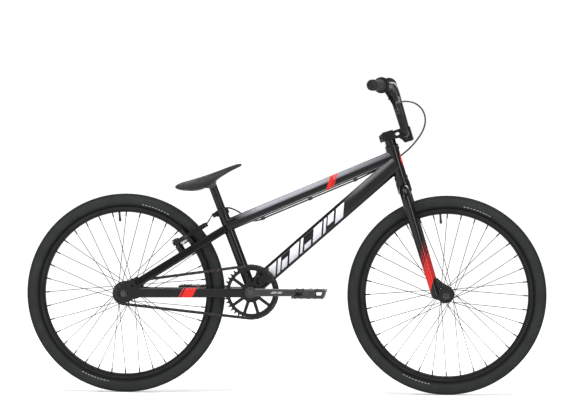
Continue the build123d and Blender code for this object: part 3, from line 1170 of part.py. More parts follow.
def make_cable(tip_at):
    start = HOUSING_EXIT + vec(0, 15.5, 0)
    hold = by_head(-23.9, 25, 45.0)
    loop = [
        start, start + vec(0, 13, 0), by_head(3.1, -167, 223), by_head(22.1, -145, 225),
        by_head(44.1, -118, 221), by_head(62.1, -92, 208), by_head(73.1, -68, 189),
        by_head(76.1, -46, 165), by_head(69.1, -27, 140), by_head(55.1, -9, 117),
        by_head(38.1, 6, 96), by_head(19.1, 18, 77), by_head(-0.9, 24, 61), hold,
    ]
    noodle_top = by_seat(-39.4, 31, 35.9)
    run = [
        hold + (hold - loop[-2]).normalized() * (2 * SEAT_GAP), by_head(-49.9, 24.5, 30.0), by_head(-79.9, 22.5, 14.5), beside_top(HEAD_BOTTOM.X - 113.9, 12, UNDER_TOP),
        beside_top(TOP_TUBE_REAR.X + 89.3, 12, UNDER_TOP), by_seat(65.3, SIDE_TOP, 13.9),
        by_seat(45.3, SIDE_TOP, 30.9), by_seat(25.3, SIDE_TOP, 44.9), by_seat(0.3, 23.5, 53.9),
        by_seat(-20.7, 25.5, 48.9), noodle_top,
    ]
    noodle = [
        noodle_top + (noodle_top - run[-2]).normalized() * SEAT_GAP,
        noodle_top + (noodle_top - run[-2]).normalized() * 13,
        vec(tip_at.X + 10, 56, tip_at.Z + 16),
        vec(tip_at.X, 58, tip_at.Z),
        vec(tip_at.X, 24, tip_at.Z),
    ]
    for name, points, radius in (
        ("brake_cable_loop", loop, CABLE_R),
        ("brake_cable", run, CABLE_R),
        ("brake_noodle", noodle, NOODLE_R),
    ):
        tube, path = bent_tube(points, radius)
        wanted = pi * radius**2 * path.length
        radii = ", ".join(f"{value:.0f}" for value in route_radii([Vector(*p) for p in points]))
        print(f"{name}: length {path.length:.0f}, volume / section x length "
              f"{tube.volume / wanted:.4f}, bend radii {radii}")
        keep(name, tube)
    end = noodle_top - (noodle_top - run[-2]).normalized() * 11
    keep("brake_cable", pipe(end, noodle_top - (noodle_top - run[-2]).normalized() * 0.2,
                               CABLE_R + 1.0, CABLE_R + WELD_GAP))
    wire_end = vec(tip_at.X, -BOSS_Y - 12, tip_at.Z)
    wire = rod(vec(tip_at.X, 24 - SEAT_GAP, tip_at.Z), wire_end, WIRE_R)
    keep("brake_wire", wire)

    guides = []
    for x in (HEAD_BOTTOM.X - 136.9, TOP_TUBE_REAR.X + 247.3, TOP_TUBE_REAR.X + 105.3):
        at = beside_top(x, 12, UNDER_TOP)
        block = Plane(origin=at + vec(0, -1, 3), x_dir=TOP_DIR, z_dir=vec(0, 1, 0)) * Box(12, 14, 11)
        bore = rod(at - TOP_DIR * 40, at + TOP_DIR * 40, CABLE_R + WELD_GAP)
        guides.append(cut(block, bore, TOP_TUBE_SOLID))
    side_dir = (run[1] - hold).normalized()
    at = hold + side_dir * 9
    block = Plane(origin=at + vec(0, -4, 0), x_dir=side_dir, z_dir=vec(0, 1, 0)) * Box(12, 10, 15)
    bore = rod(at - side_dir * 40, at + side_dir * 40, CABLE_R + WELD_GAP)
    head_clear = head_bar(-60, HEAD_TUBE_LENGTH + 60, HEAD_TUBE_R + WELD_GAP)
    guides.append(cut(block, bore, TOP_TUBE_SOLID, DOWN_TUBE_SOLID, head_clear))
    keep("cable_guides", *[max(g.solids(), key=lambda s: s.volume) for g in guides])


# ---- seat ----
POST_INSERT = 90.0
SADDLE_PIVOT = POST_TOP + vec(-3, 0, 6)
SADDLE_HALF = 66.0


def make_seat():
    post_low = SEAT_TUBE_TOP - SEAT_UP * POST_INSERT
    post = pipe(post_low, POST_TOP, POST_R, POST_R - 2.0)
    post_cap = rod(POST_TOP - SEAT_UP * 8, POST_TOP, POST_R - 1)
    head_piece = disc(SADDLE_PIVOT.X, SADDLE_PIVOT.Z, 12.5, -17, 17)
    head_piece += post_cap + post
    bolt_hole = disc(SADDLE_PIVOT.X, SADDLE_PIVOT.Z, 4.0 + RUN_GAP, -60, 60)
    keep("seatpost", head_piece - bolt_hole)

    top = [(-104.3, -18.6), (-86.3, -7.1), (-26.8, 9.9), (32.7, 31.4), (82.7, 51.4), (95.7, 44.9)]
    bottom = [(90.7, 39.4), (51.7, 20.4), (28.7, 5.4), (-7.3, -23.6), (-27.3, -33.1), (-53.3, -36.6),
              (-82.3, -32.6)]
    side = Polyline(*[SADDLE_PIVOT + vec(x, -90, z) for x, z in top + bottom], close=True)
    side_solid = extrude(make_face(side), amount=180, dir=(0, 1, 0))
    plan_half = [(-104.3, 40), (-91.3, 58), (-69.3, SADDLE_HALF), (-44.3, 62), (-14.3, 44), (15.7, 29),
                 (50.7, 22), (80.7, 19), (95.7, 12)]
    plan = [(x, y) for x, y in plan_half] + [(x, -y) for x, y in plan_half[::-1]]
    plan_face = make_face(Polyline(*[SADDLE_PIVOT + vec(x, y, -80) for x, y in plan], close=True))
    plan_solid = extrude(plan_face, amount=180, dir=(0, 0, 1))
    saddle = side_solid & plan_solid
    cavity = disc(SADDLE_PIVOT.X, SADDLE_PIVOT.Z, 15.5, -20, 20)
    for ahead, below in ((20.5, 0), (33, 6)):
        low = (SADDLE_PIVOT.X - 15.5, -20, SADDLE_PIVOT.Z - 80)
        cavity += box_between(low, (SADDLE_PIVOT.X + ahead, 20, SADDLE_PIVOT.Z - below))
    bolt_run = disc(SADDLE_PIVOT.X, SADDLE_PIVOT.Z, 4.0 + RUN_GAP, -25, 25)
    hollow = side_solid.moved(Location((0, 0, -9))) & box_between(
        SADDLE_PIVOT + vec(-87.3, -34, -80), SADDLE_PIVOT + vec(-31.3, 34, 60)
    )
    saddle = cut(saddle, cavity, bolt_run, hollow)
    keep("saddle", max(saddle.solids(), key=lambda solid: solid.volume))
    keep("seatpost", disc(SADDLE_PIVOT.X, SADDLE_PIVOT.Z, 4.0, -24.5, 24.5))


make_cable(make_brake())
make_seat()


# ---- export ----
os.makedirs("parts", exist_ok=True)
for name, solids in NODES.items():
    piece = solids[0] if len(solids) == 1 else Compound(children=solids)
    export_step(piece, f"parts/{name}.step")
print(len(NODES), "nodes,", sum(len(solids) for solids in NODES.values()), "solids")
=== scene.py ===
import bmesh
import bpy
import json
import math
from math import cos, pi, radians, sin
from mathutils import Euler, Matrix, Vector


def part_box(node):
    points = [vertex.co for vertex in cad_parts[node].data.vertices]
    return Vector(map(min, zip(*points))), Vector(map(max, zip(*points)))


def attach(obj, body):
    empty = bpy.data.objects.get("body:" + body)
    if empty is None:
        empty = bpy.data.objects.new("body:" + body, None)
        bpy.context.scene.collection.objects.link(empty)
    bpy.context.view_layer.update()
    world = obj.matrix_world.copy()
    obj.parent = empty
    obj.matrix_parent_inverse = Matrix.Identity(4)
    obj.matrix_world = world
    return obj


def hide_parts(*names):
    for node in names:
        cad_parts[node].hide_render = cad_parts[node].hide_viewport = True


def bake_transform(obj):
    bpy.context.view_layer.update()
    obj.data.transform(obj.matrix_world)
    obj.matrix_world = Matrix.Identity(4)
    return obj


# A 24 inch cruiser BMX bicycle: finishes, tyres, grips, saddle, cable and weld beads around the
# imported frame. Metres; +X is forward, +Y is the rider's left, +Z is up.

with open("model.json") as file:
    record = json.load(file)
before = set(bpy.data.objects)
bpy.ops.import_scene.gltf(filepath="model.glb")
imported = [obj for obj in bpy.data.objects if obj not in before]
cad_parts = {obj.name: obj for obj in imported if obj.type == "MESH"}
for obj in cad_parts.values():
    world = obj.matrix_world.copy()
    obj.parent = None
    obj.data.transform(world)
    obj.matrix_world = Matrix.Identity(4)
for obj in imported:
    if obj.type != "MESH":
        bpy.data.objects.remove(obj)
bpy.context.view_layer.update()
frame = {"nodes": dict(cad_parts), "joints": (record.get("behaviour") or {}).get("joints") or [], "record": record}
MM = 0.001


# ---- places read from the frame ----
def middle(node):
    low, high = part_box(node)
    return (Vector(low) + Vector(high)) / 2


REAR_HUB = middle("rear_rim")
FRONT_HUB = middle("front_rim")
TYRE_R = (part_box("front_tyre")[1][2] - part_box("front_tyre")[0][2]) / 2
RIM_R = (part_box("front_rim")[1][2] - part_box("front_rim")[0][2]) / 2
JOINTS = {joint["name"]: joint for joint in frame["joints"]}
HEAD_UP = Vector(JOINTS["steer"]["axis"])
HEAD_FORWARD = Vector((HEAD_UP.z, 0, -HEAD_UP.x))
HEAD_LOW = Vector(JOINTS["steer"]["pos_m"]) - HEAD_UP * 0.040
BB = Vector(JOINTS["crank_spin"]["pos_m"])
SEAT_UP = Vector(JOINTS["seatpost_height"]["axis"])
STAY_OUT = Vector(JOINTS["left_arm_swing"]["axis"])
ARM_UP = Vector((STAY_OUT.z, 0, -STAY_OUT.x))


def head(forward, up, left=0.0):
    """A point ahead of the steering axis, up along it from the head tube's foot, and left."""
    return HEAD_LOW + HEAD_FORWARD * forward + HEAD_UP * up + Vector((0, left, 0))


# ---- camera, floor and light ----
CAMERA_AWAY = 14.0
CAMERA_TURN = radians(3.9)
CAMERA_RISE = radians(1.4)
CAMERA_ROLL = radians(0.3)
CAMERA_AIM = Vector((0.0075, 0.0, 0.5505))
VIEW_WIDTH = 1.734
SENSOR = 36.0


def add_camera():
    back = Vector((
        sin(CAMERA_TURN) * cos(CAMERA_RISE), -cos(CAMERA_TURN) * cos(CAMERA_RISE), sin(CAMERA_RISE)
    ))
    data = bpy.data.cameras.new("camera")
    data.sensor_width = SENSOR
    data.lens = SENSOR * CAMERA_AWAY / VIEW_WIDTH
    data.clip_end = 200
    camera = bpy.data.objects.new("camera", data)
    bpy.context.collection.objects.link(camera)
    camera.location = CAMERA_AIM + back * CAMERA_AWAY
    turn = back.to_track_quat("Z", "Y") @ Euler((0, 0, CAMERA_ROLL)).to_quaternion()
    camera.rotation_euler = turn.to_euler()
    bpy.context.scene.camera = camera


def add_light(name, place, aim, size, watts, colour=(1, 1, 1)):
    data = bpy.data.lights.new(name, "AREA")
    data.shape = "RECTANGLE"
    data.size, data.size_y = size
    data.energy = watts
    data.color = colour
    lamp = bpy.data.objects.new(name, data)
    bpy.context.collection.objects.link(lamp)
    lamp.location = place
    lamp.rotation_euler = (Vector(place) - Vector(aim)).to_track_quat("Z", "Y").to_euler()


def add_stage():
    """A wide pale floor under an even white sky."""
    mesh = bpy.data.meshes.new("floor")
    sides, reach = 64, 60.0
    turns = [2 * pi * step / sides for step in range(sides)]
    rim = [(reach * cos(turn), reach * sin(turn), 0.0) for turn in turns]
    mesh.from_pydata(rim, [], [tuple(range(sides))])
    floor = bpy.data.objects.new("floor", mesh)
    bpy.context.collection.objects.link(floor)
    paint = bpy.data.materials.new("studio_white")
    paint.use_nodes = True
    shader = paint.node_tree.nodes["Principled BSDF"]
    shader.inputs["Base Color"].default_value = (0.97, 0.97, 0.97, 1)
    shader.inputs["Roughness"].default_value = 0.9
    shader.inputs["Specular IOR Level"].default_value = 0.1
    nodes, links = paint.node_tree.nodes, paint.node_tree.links
    away = nodes.new("ShaderNodeVectorMath")
    away.operation = "LENGTH"
    links.new(nodes.new("ShaderNodeTexCoord").outputs["Object"], away.inputs[0])
    glow = nodes.new("ShaderNodeMapRange")
    for socket, number in zip(("From Min", "From Max", "To Min", "To Max"), (0.8, 5.0, 0.12, 0.75)):
        glow.inputs[socket].default_value = number
    links.new(away.outputs["Value"], glow.inputs["Value"])
    shader.inputs["Emission Color"].default_value = (1, 1, 1, 1)
    links.new(glow.outputs["Result"], shader.inputs["Emission Strength"])
    mesh.materials.append(paint)
    world = bpy.data.worlds.new("studio")
    world.use_nodes = True
    tree = world.node_tree
    sky = tree.nodes["Background"]
    sky.inputs["Color"].default_value = (1, 1, 1, 1)
    seen = tree.nodes.new("ShaderNodeLightPath").outputs["Is Camera Ray"]
    strength = tree.nodes.new("ShaderNodeMapRange")
    strength.inputs["To Min"].default_value = SKY_LIGHT
    strength.inputs["To Max"].default_value = 1.0
    tree.links.new(seen, strength.inputs["Value"])
    tree.links.new(strength.outputs["Result"], sky.inputs["Strength"])
    bpy.context.scene.world = world
    bpy.context.scene.view_settings.view_transform = "Standard"


SKY_LIGHT = 0.42
add_camera()
add_stage()
aim = (0, 0, 0.5)
add_light("top_softbox", (0.0, -1.2, 4.2), aim, (4.5, 2.5), 150)
add_light("side_softbox", (-3.2, -4.2, 2.2), aim, (1.6, 2.6), 85)
add_light("front_softbox", (3.6, -3.6, 1.8), aim, (1.2, 2.6), 65)
add_light("back_softbox", (0.5, 3.2, 2.8), aim, (3.5, 1.6), 70)


# ---- material helpers ----
class Shade:
    """A material's node tree, with short names for the nodes that the finishes share."""

    def __init__(self, name):
        self.material = bpy.data.materials.new(name)
        self.material.use_nodes = True
        self.tree = self.material.node_tree
        self.shader = self.tree.nodes["Principled BSDF"]
        self.place = self.node("ShaderNodeTexCoord").outputs["Object"]

    def node(self, kind, **settings):
        made = self.tree.nodes.new(kind)
        for key, value in settings.items():
            setattr(made, key, value)
        return made

    def link(self, source, socket):
        if isinstance(source, bpy.types.NodeSocket):
            self.tree.links.new(source, socket)
        else:
            socket.default_value = source
        return socket

    def math(self, operation, first, second=0.0, clamp=False):
        made = self.node("ShaderNodeMath", operation=operation, use_clamp=clamp)
        self.link(first, made.inputs[0])
        self.link(second, made.inputs[1])
        return made.outputs[0]

    def noise(self, scale, detail=4.0, rough=0.5, place=None):
        made = self.node("ShaderNodeTexNoise")
        self.link(place or self.place, made.inputs["Vector"])
        made.inputs["Scale"].default_value = scale
        made.inputs["Detail"].default_value = detail
        made.inputs["Roughness"].default_value = rough
        return made.outputs["Fac"]

    def ramp(self, value, low, high, to_low=0.0, to_high=1.0):
        made = self.node("ShaderNodeMapRange")
        self.link(value, made.inputs["Value"])
        for socket, number in zip(("From Min", "From Max", "To Min", "To Max"),
                                  (low, high, to_low, to_high)):
            self.link(number, made.inputs[socket])
        return made.outputs["Result"]

    def mix(self, factor, first, second):
        made = self.node("ShaderNodeMix", data_type="RGBA")
        self.link(factor, made.inputs["Factor"])
        colours = [s for s in made.inputs if s.type == "RGBA"]
        self.link(first if isinstance(first, bpy.types.NodeSocket) else (*first, 1), colours[0])
        self.link(second if isinstance(second, bpy.types.NodeSocket) else (*second, 1), colours[1])
        return next(s for s in made.outputs if s.type == "RGBA")

    def along(self, origin, direction):
        """How far a point lies from an origin along a direction, in metres."""
        offset = self.node("ShaderNodeVectorMath", operation="SUBTRACT")
        self.link(self.place, offset.inputs[0])
        offset.inputs[1].default_value = tuple(origin)
        dot = self.node("ShaderNodeVectorMath", operation="DOT_PRODUCT")
        self.link(offset.outputs[0], dot.inputs[0])
        dot.inputs[1].default_value = tuple(direction)
        return dot.outputs["Value"]

    def band(self, value, low, high, soft=0.0004):
        """1 between two values, 0 outside them, with narrow soft edges."""
        rise = self.ramp(value, low - soft, low + soft)
        fall = self.ramp(value, high - soft, high + soft, 1.0, 0.0)
        return self.math("MULTIPLY", rise, fall, clamp=True)

    def both(self, first, second):
        return self.math("MULTIPLY", first, second, clamp=True)

    def either(self, first, second):
        return self.math("MAXIMUM", first, second, clamp=True)

    def bump(self, height, strength, distance=0.0005, below=None):
        made = self.node("ShaderNodeBump")
        made.inputs["Strength"].default_value = strength
        made.inputs["Distance"].default_value = distance
        self.link(height, made.inputs["Height"])
        if below:
            self.link(below, made.inputs["Normal"])
        return made.outputs["Normal"]

    def finish(self, colour, rough, metal=0.0, coat=0.0, coat_rough=0.05, specular=0.5):
        """Sets the shader: colour and roughness may be links, the rest are plain numbers."""
        shader = self.shader
        self.link(colour if isinstance(colour, bpy.types.NodeSocket) else (*colour, 1),
                  shader.inputs["Base Color"])
        self.link(rough, shader.inputs["Roughness"])
        self.link(metal, shader.inputs["Metallic"])
        shader.inputs["Coat Weight"].default_value = coat
        shader.inputs["Coat Roughness"].default_value = coat_rough
        shader.inputs["Specular IOR Level"].default_value = specular

    def normal(self, source):
        self.tree.links.new(source, self.shader.inputs["Normal"])


def worn(shade, colour, lighter, scale=60.0, amount=0.35):
    """A base colour with soft cloudy variation."""
    cloud = shade.ramp(shade.noise(scale, 5.0), 0.42, 0.75, 0.0, amount)
    return shade.mix(cloud, colour, lighter)


def plain_finish(name, colour, lighter, rough, metal=0.0, coat=0.0, grain=900.0, bump=0.05,
                 specular=0.5, coat_rough=0.08, spread=0.08):
    """A finish with cloudy colour, uneven roughness and a fine surface grain."""
    shade = Shade(name)
    base = worn(shade, colour, lighter)
    uneven = shade.ramp(shade.noise(35.0, 6.0, 0.6), 0.3, 0.7, rough - spread, rough + spread)
    shade.finish(base, uneven, metal, coat, coat_rough, specular)
    shade.normal(shade.bump(shade.noise(grain, 3.0), bump, 0.0004))
    return shade


BLACK = (0.0025, 0.0025, 0.0028)
RED = (0.62, 0.012, 0.010)
DARK_RED = (0.30, 0.006, 0.006)
SILVER = (0.55, 0.56, 0.58)
WHITE = (0.80, 0.81, 0.82)


# ---- painted tubes ----
def paint_shader(name):
    """Gloss black paint's base: a deep black with dust; paint_coat adds the clear coat and a faint orange peel."""
    shade = Shade(name)
    dust = shade.ramp(shade.noise(14.0, 6.0, 0.6), 0.45, 0.8, 0.0, 0.05)
    return shade, shade.mix(dust, BLACK, (0.06, 0.06, 0.065))


def paint_coat(shade, base, rough=0.22):
    uneven = shade.ramp(shade.noise(22.0, 5.0), 0.3, 0.7, rough - 0.05, rough + 0.06)
    shade.finish(base, uneven, 0.0, 0.40, 0.04, 0.10)
    peel = shade.bump(shade.noise(240.0, 2.0), 0.03, 0.0006)
    shade.normal(peel)
    shade.tree.links.new(peel, shade.shader.inputs["Coat Normal"])


def tube_axes(low, high):
    run = (Vector(high) - Vector(low)).normalized()
    return run, Vector((-run.z, 0, run.x))


TOP_REAR = BB + SEAT_UP * 0.2122
TOP_FRONT = head(0, 0.0642)
TOP_RUN, TOP_RISE = tube_axes(TOP_REAR, TOP_FRONT)
DOWN_REAR = BB + Vector((0.010, 0, 0.017))
DOWN_FRONT = head(0, 0.041)
DOWN_RUN, DOWN_RISE = tube_axes(DOWN_REAR, DOWN_FRONT)


def stripe(shade, run, rise, slant, low, high, soft=0.0006):
    """A slanted band across a tube, between two places along it."""
    leaning = shade.math("SUBTRACT", run, shade.math("MULTIPLY", rise, slant))
    return shade.band(leaning, low, high, soft)


def top_tube_paint():
    shade, base = paint_shader("frame_paint_top_tube")
    run = shade.along(TOP_REAR, TOP_RUN)
    rise = shade.along(TOP_REAR, TOP_RISE)
    length = (TOP_FRONT - TOP_REAR).length
    # Silver fade and painted highlight: the upper half of the tube is lightened towards grey, fading in near the
    # seat tube and dimming towards the head tube; part paint fade, part painted reflection of the top light.
    fade_in = shade.ramp(run, 0.03, 0.11)
    fade_out = shade.ramp(run, length - 0.26, length - 0.02, 1.0, 0.35)
    spread = shade.both(fade_in, fade_out)
    top_fade = shade.ramp(rise, 0.0125, 0.0185, 1.0, 0.75)
    upper_highlight_band = shade.both(shade.ramp(rise, 0.0015, 0.0075), top_fade)
    fleck = shade.ramp(shade.noise(2600.0, 2.0), 0.3, 0.7, 0.86, 1.0)
    silver = shade.both(shade.both(upper_highlight_band, spread), fleck)
    base = shade.mix(shade.both(silver, 0.80), base, (0.42, 0.42, 0.47))
    # Painted highlight: a thin pale silver line along the tube's lower lip, where light catches that edge.
    line = shade.both(shade.band(rise, -0.0150, -0.0132, 0.0005), spread)
    base = shade.mix(shade.both(line, 0.6), base, SILVER)
    red = shade.either(
        stripe(shade, run, rise, 0.87, 0.3290, 0.3430),
        shade.either(stripe(shade, run, rise, 0.87, 0.3455, 0.3505),
                     stripe(shade, run, rise, 0.87, 0.3525, 0.3545)),
    )
    red = shade.both(red, shade.ramp(rise, -0.0168, -0.0160))
    base = shade.mix(red, base, RED)
    paint_coat(shade, base)
    return shade


def down_tube_paint():
    """Black paint with a painted highlight on its upper front and a row of slanted silver bars along both flanks.
    """
    shade, base = paint_shader("frame_paint_down_tube")
    run = shade.along(DOWN_REAR, DOWN_RUN)
    rise = shade.along(DOWN_REAR, DOWN_RISE)
    # Painted highlight: the upper half of the tube's forward part is lightened towards grey, as if lit from above.
    upper_painted_highlight = shade.both(shade.ramp(rise, 0.006, 0.016), shade.ramp(run, 0.36, 0.44))
    base = shade.mix(shade.both(upper_painted_highlight, 0.35), base, (0.35, 0.36, 0.37))
    marks = None
    place = BAR_FIRST
    for width, gap, low, high in BAR_ROW:
        bar = shade.both(
            stripe(shade, run, rise, 1.0, place, place + width, 0.0005),
            shade.band(rise, low, high, 0.0004),
        )
        marks = bar if marks is None else shade.either(marks, bar)
        place += width + gap
    flank = shade.node("ShaderNodeSeparateXYZ")
    shade.link(shade.place, flank.inputs[0])
    side = shade.ramp(shade.math("ABSOLUTE", flank.outputs["Y"]), 0.012, 0.0125)
    marks = shade.both(marks, side)
    ink = shade.mix(shade.ramp(rise, -0.015, 0.015), (0.50, 0.51, 0.56), (0.82, 0.83, 0.85))
    base = shade.mix(marks, base, ink)
    paint_coat(shade, base)
    return shade


BAR_FIRST = 0.052
BAR_TALL, BAR_LOW = 0.0155, -0.0165
BAR_ROW = (
    (0.030, 0.007, BAR_LOW, BAR_TALL), (0.012, 0.006, BAR_LOW, BAR_TALL),
    (0.022, 0.008, BAR_LOW, 0.004), (0.036, 0.007, BAR_LOW, BAR_TALL),
    (0.010, 0.007, BAR_LOW, BAR_TALL), (0.026, 0.008, BAR_LOW, -0.004),
    (0.034, 0.007, BAR_LOW, BAR_TALL), (0.010, 0.006, BAR_LOW, BAR_TALL),
    (0.024, 0.008, -0.006, BAR_TALL), (0.032, 0.0, BAR_LOW, BAR_TALL),
)


def chainstay_paint():
    shade, base = paint_shader("frame_paint_chainstay")
    run = shade.along(REAR_HUB, (1, 0, 0))
    band = stripe(shade, run, shade.along(REAR_HUB, (0, 0, 1)), 0.5, 0.176, 0.209)
    thin = stripe(shade, run, shade.along(REAR_HUB, (0, 0, 1)), 0.5, 0.168, 0.172)
    base = shade.mix(shade.either(band, thin), base, RED)
    paint_coat(shade, base)
    return shade


def head_tube_paint():
    """Black paint with a red shield ahead of the steering axis, and a plain pale lozenge on it."""
    shade, base = paint_shader("frame_paint_head_tube")
    ahead = shade.along(HEAD_LOW, HEAD_FORWARD)
    up = shade.along(HEAD_LOW, HEAD_UP)
    left = shade.along(HEAD_LOW, (0, 1, 0))
    side = shade.math("ABSOLUTE", left)
    slope = shade.math("SUBTRACT", 0.0120, shade.math("MULTIPLY", shade.math(
        "ABSOLUTE", shade.math("SUBTRACT", up, 0.046)), 0.20))
    inside = shade.ramp(shade.math("SUBTRACT", slope, side), -0.0003, 0.0003)
    in_front = shade.ramp(ahead, 0, 0.001)
    shield = shade.both(shade.both(inside, shade.band(up, 0.026, 0.066)), in_front)
    base = shade.mix(shield, base, RED)
    lozenge = shade.math("ADD", side, shade.math("MULTIPLY", shade.math(
        "ABSOLUTE", shade.math("SUBTRACT", up, 0.047)), 0.55))
    mark = shade.both(shade.ramp(lozenge, 0.0048, 0.0053, 1.0, 0.0), shade.ramp(ahead, 0, 0.001))
    base = shade.mix(mark, base, WHITE)
    paint_coat(shade, base)
    return shade


def fork_paint():
    """Black paint with a slanted red patch low on each leg that breaks up into stripes above."""
    shade, base = paint_shader("fork_paint_legs")
    up = shade.along(HEAD_LOW, HEAD_UP)
    ahead = shade.along(HEAD_LOW, HEAD_FORWARD)
    red = stripe(shade, up, ahead, 1.7, -0.337, -0.262, 0.0008)
    for low, high in ((-0.256, -0.249), (-0.243, -0.239), (-0.232, -0.2295)):
        red = shade.either(red, stripe(shade, up, ahead, 1.7, low, high, 0.0008))
    shadow = shade.ramp(up, -0.345, -0.235)
    colour = shade.mix(shadow, RED, DARK_RED)
    base = shade.mix(red, base, colour)
    paint_coat(shade, base)
    return shade


def plain_paint(name):
    shade, base = paint_shader(name)
    paint_coat(shade, base)
    return shade


# ---- rubber, metal and plastic ----
def tyre_rubber():
    """Carbon-black rubber with a dusty greenish wall, a darker bead and fine moulding lines."""
    shade = Shade("tyre_rubber")
    radius = shade_radius(shade)
    cloud = shade.ramp(shade.noise(30.0, 6.0, 0.6), 0.3, 0.75)
    wall = shade.mix(cloud, (0.016, 0.0185, 0.0178), (0.025, 0.0285, 0.0272))
    inner = shade.ramp(radius, RIM_R + 0.0035, RIM_R + 0.0105, 1.0, 0.0)
    base = shade.mix(shade.both(inner, 0.85), wall, (0.002, 0.002, 0.002))
    tread = shade.ramp(radius, TYRE_R - 0.012, TYRE_R - 0.002)
    base = shade.mix(shade.both(tread, 0.4), base, (0.026, 0.030, 0.028))
    uneven = shade.ramp(shade.noise(60.0, 5.0), 0.3, 0.7, 0.62, 0.82)
    shade.finish(base, uneven, 0.0, 0.0, 0.1, 0.15)
    lines = shade.math("SINE", shade.math("MULTIPLY", radius, 2 * pi / 0.0030))
    lines = shade.ramp(lines, 0.4, 0.9)
    ribs = shade.bump(lines, 0.25, 0.0003)
    shade.normal(shade.bump(shade.noise(1400.0, 3.0), 0.12, 0.0003, ribs))
    return shade


def shade_radius(shade):
    """Distance from the nearer hub in the plane of the wheels."""
    parts = shade.node("ShaderNodeSeparateXYZ")
    shade.link(shade.place, parts.inputs[0])
    from_middle = shade.math("ABSOLUTE", parts.outputs["X"])
    ahead = shade.math("SUBTRACT", from_middle, abs(FRONT_HUB.x))
    above = shade.math("SUBTRACT", parts.outputs["Z"], FRONT_HUB.z)
    squares = shade.math("ADD", shade.math("MULTIPLY", ahead, ahead),
                         shade.math("MULTIPLY", above, above))
    return shade.math("SQRT", squares)


def rim_alloy():
    """Black anodised alloy with a worn, ring-grained brake track near its outer edge."""
    shade = Shade("rim_alloy")
    radius = shade_radius(shade)
    track = shade.band(radius, RIM_R - 0.0095, RIM_R - 0.0015, 0.0006)
    rings = shade.node("ShaderNodeTexNoise", noise_dimensions="1D")
    shade.link(radius, rings.inputs["W"])
    rings.inputs["Scale"].default_value = 2200.0
    grain = rings.outputs["Fac"]
    wear = shade.both(track, shade.ramp(shade.noise(18.0, 5.0), 0.25, 0.7, 0.2, 0.9))
    base = shade.mix(wear, (0.004, 0.004, 0.0045), (0.018, 0.018, 0.019))
    shade.finish(base, shade.ramp(grain, 0.3, 0.7, 0.38, 0.52), 0.1, 0.05, 0.2, 0.15)
    shade.normal(shade.bump(grain, 0.06, 0.0002))
    return shade


def spoke_steel():
    """Drawn stainless wire: grey with long streaks."""
    shade = Shade("spoke_steel")
    streak = shade.ramp(shade.noise(420.0, 5.0, 0.7), 0.35, 0.7)
    base = shade.mix(streak, (0.012, 0.012, 0.013), (0.045, 0.045, 0.047))
    shade.finish(base, shade.ramp(streak, 0, 1, 0.34, 0.48), 0.5, 0.0, 0.1, 0.2)
    shade.normal(shade.bump(streak, 0.05, 0.0001))
    return shade


def chain_steel():
    """Oiled dark chain steel with brighter rubbed patches."""
    shade = Shade("chain_steel")
    rub = shade.ramp(shade.noise(260.0, 5.0, 0.65), 0.48, 0.72)
    base = shade.mix(rub, (0.020, 0.018, 0.016), (0.13, 0.12, 0.115))
    shade.finish(base, shade.ramp(rub, 0, 1, 0.55, 0.30), 0.9, 0.1, 0.3)
    shade.normal(shade.bump(shade.noise(900.0), 0.1, 0.0002))
    return shade


def grip_rubber():
    """Soft black rubber with a fine waffle of crossing grooves."""
    shade = Shade("grip_rubber")
    parts = shade.node("ShaderNodeSeparateXYZ")
    shade.link(shade.place, parts.inputs[0])
    rows = shade.math("SINE", shade.math("MULTIPLY", parts.outputs["Y"], 2 * pi / 0.0042))
    tilt = shade.math("ADD", parts.outputs["X"], parts.outputs["Z"])
    columns = shade.math("SINE", shade.math("MULTIPLY", tilt, 2 * pi / 0.0046))
    waffle = shade.both(shade.ramp(rows, -0.6, 0.2), shade.ramp(columns, -0.6, 0.2))
    base = worn(shade, (0.013, 0.013, 0.013), (0.045, 0.045, 0.044), 50.0, 0.5)
    shade.finish(base, shade.ramp(shade.noise(80.0), 0.3, 0.7, 0.70, 0.86), 0.0, 0.0, 0.1, 0.18)
    shade.normal(shade.bump(waffle, 0.5, 0.0006))
    return shade


def saddle_cover():
    """Pebbled dark vinyl with cloudy colour, patchy shine and fine creases."""
    shade = Shade("saddle_cover")
    cells = shade.node("ShaderNodeTexVoronoi", feature="SMOOTH_F1")
    shade.link(shade.place, cells.inputs["Vector"])
    cells.inputs["Scale"].default_value = 900.0
    pebble = cells.outputs["Distance"]
    base = worn(shade, (0.017, 0.017, 0.018), (0.040, 0.040, 0.042), 30.0, 0.6)
    shade.finish(base, shade.ramp(shade.noise(45.0), 0.3, 0.7, 0.50, 0.66), 0.0, 0.0, 0.1, 0.22)
    creases = shade.bump(shade.noise(140.0, 6.0, 0.6), 0.15, 0.0008)
    shade.normal(shade.bump(pebble, 0.45, 0.0006, creases))
    return shade


def pedal_plastic():
    shade = plain_finish("pedal_plastic", (0.014, 0.014, 0.014), (0.05, 0.05, 0.05), 0.42,
                         grain=1600.0, bump=0.14)
    return shade


def crank_alloy():
    """Satin black forged arms with a slim silver bar on each flank."""
    shade = Shade("black_alloy_crank")
    base = worn(shade, (0.010, 0.010, 0.0105), (0.035, 0.035, 0.036), 40.0, 0.4)
    ahead = shade.along(BB, (1, 0, 0))
    above = shade.math("ABSOLUTE", shade.along(BB, (0, 0, 1)))
    bar = shade.both(shade.band(above, -0.01, 0.0030, 0.0004),
                     stripe(shade, ahead, shade.along(BB, (0, 0, 1)), 0.8, 0.062, 0.094))
    notch = stripe(shade, ahead, shade.along(BB, (0, 0, 1)), 0.8, 0.078, 0.081)
    ink = shade.both(bar, shade.ramp(notch, 0, 1, 1.0, 0.0))
    base = shade.mix(shade.both(ink, 0.55), base, SILVER)
    uneven = shade.ramp(shade.noise(35.0, 6.0, 0.6), 0.3, 0.7, 0.24, 0.38)
    shade.finish(base, uneven, 0.3, 0.5, 0.12, 0.5)
    shade.normal(shade.bump(shade.noise(900.0, 3.0), 0.04, 0.0004))
    return shade


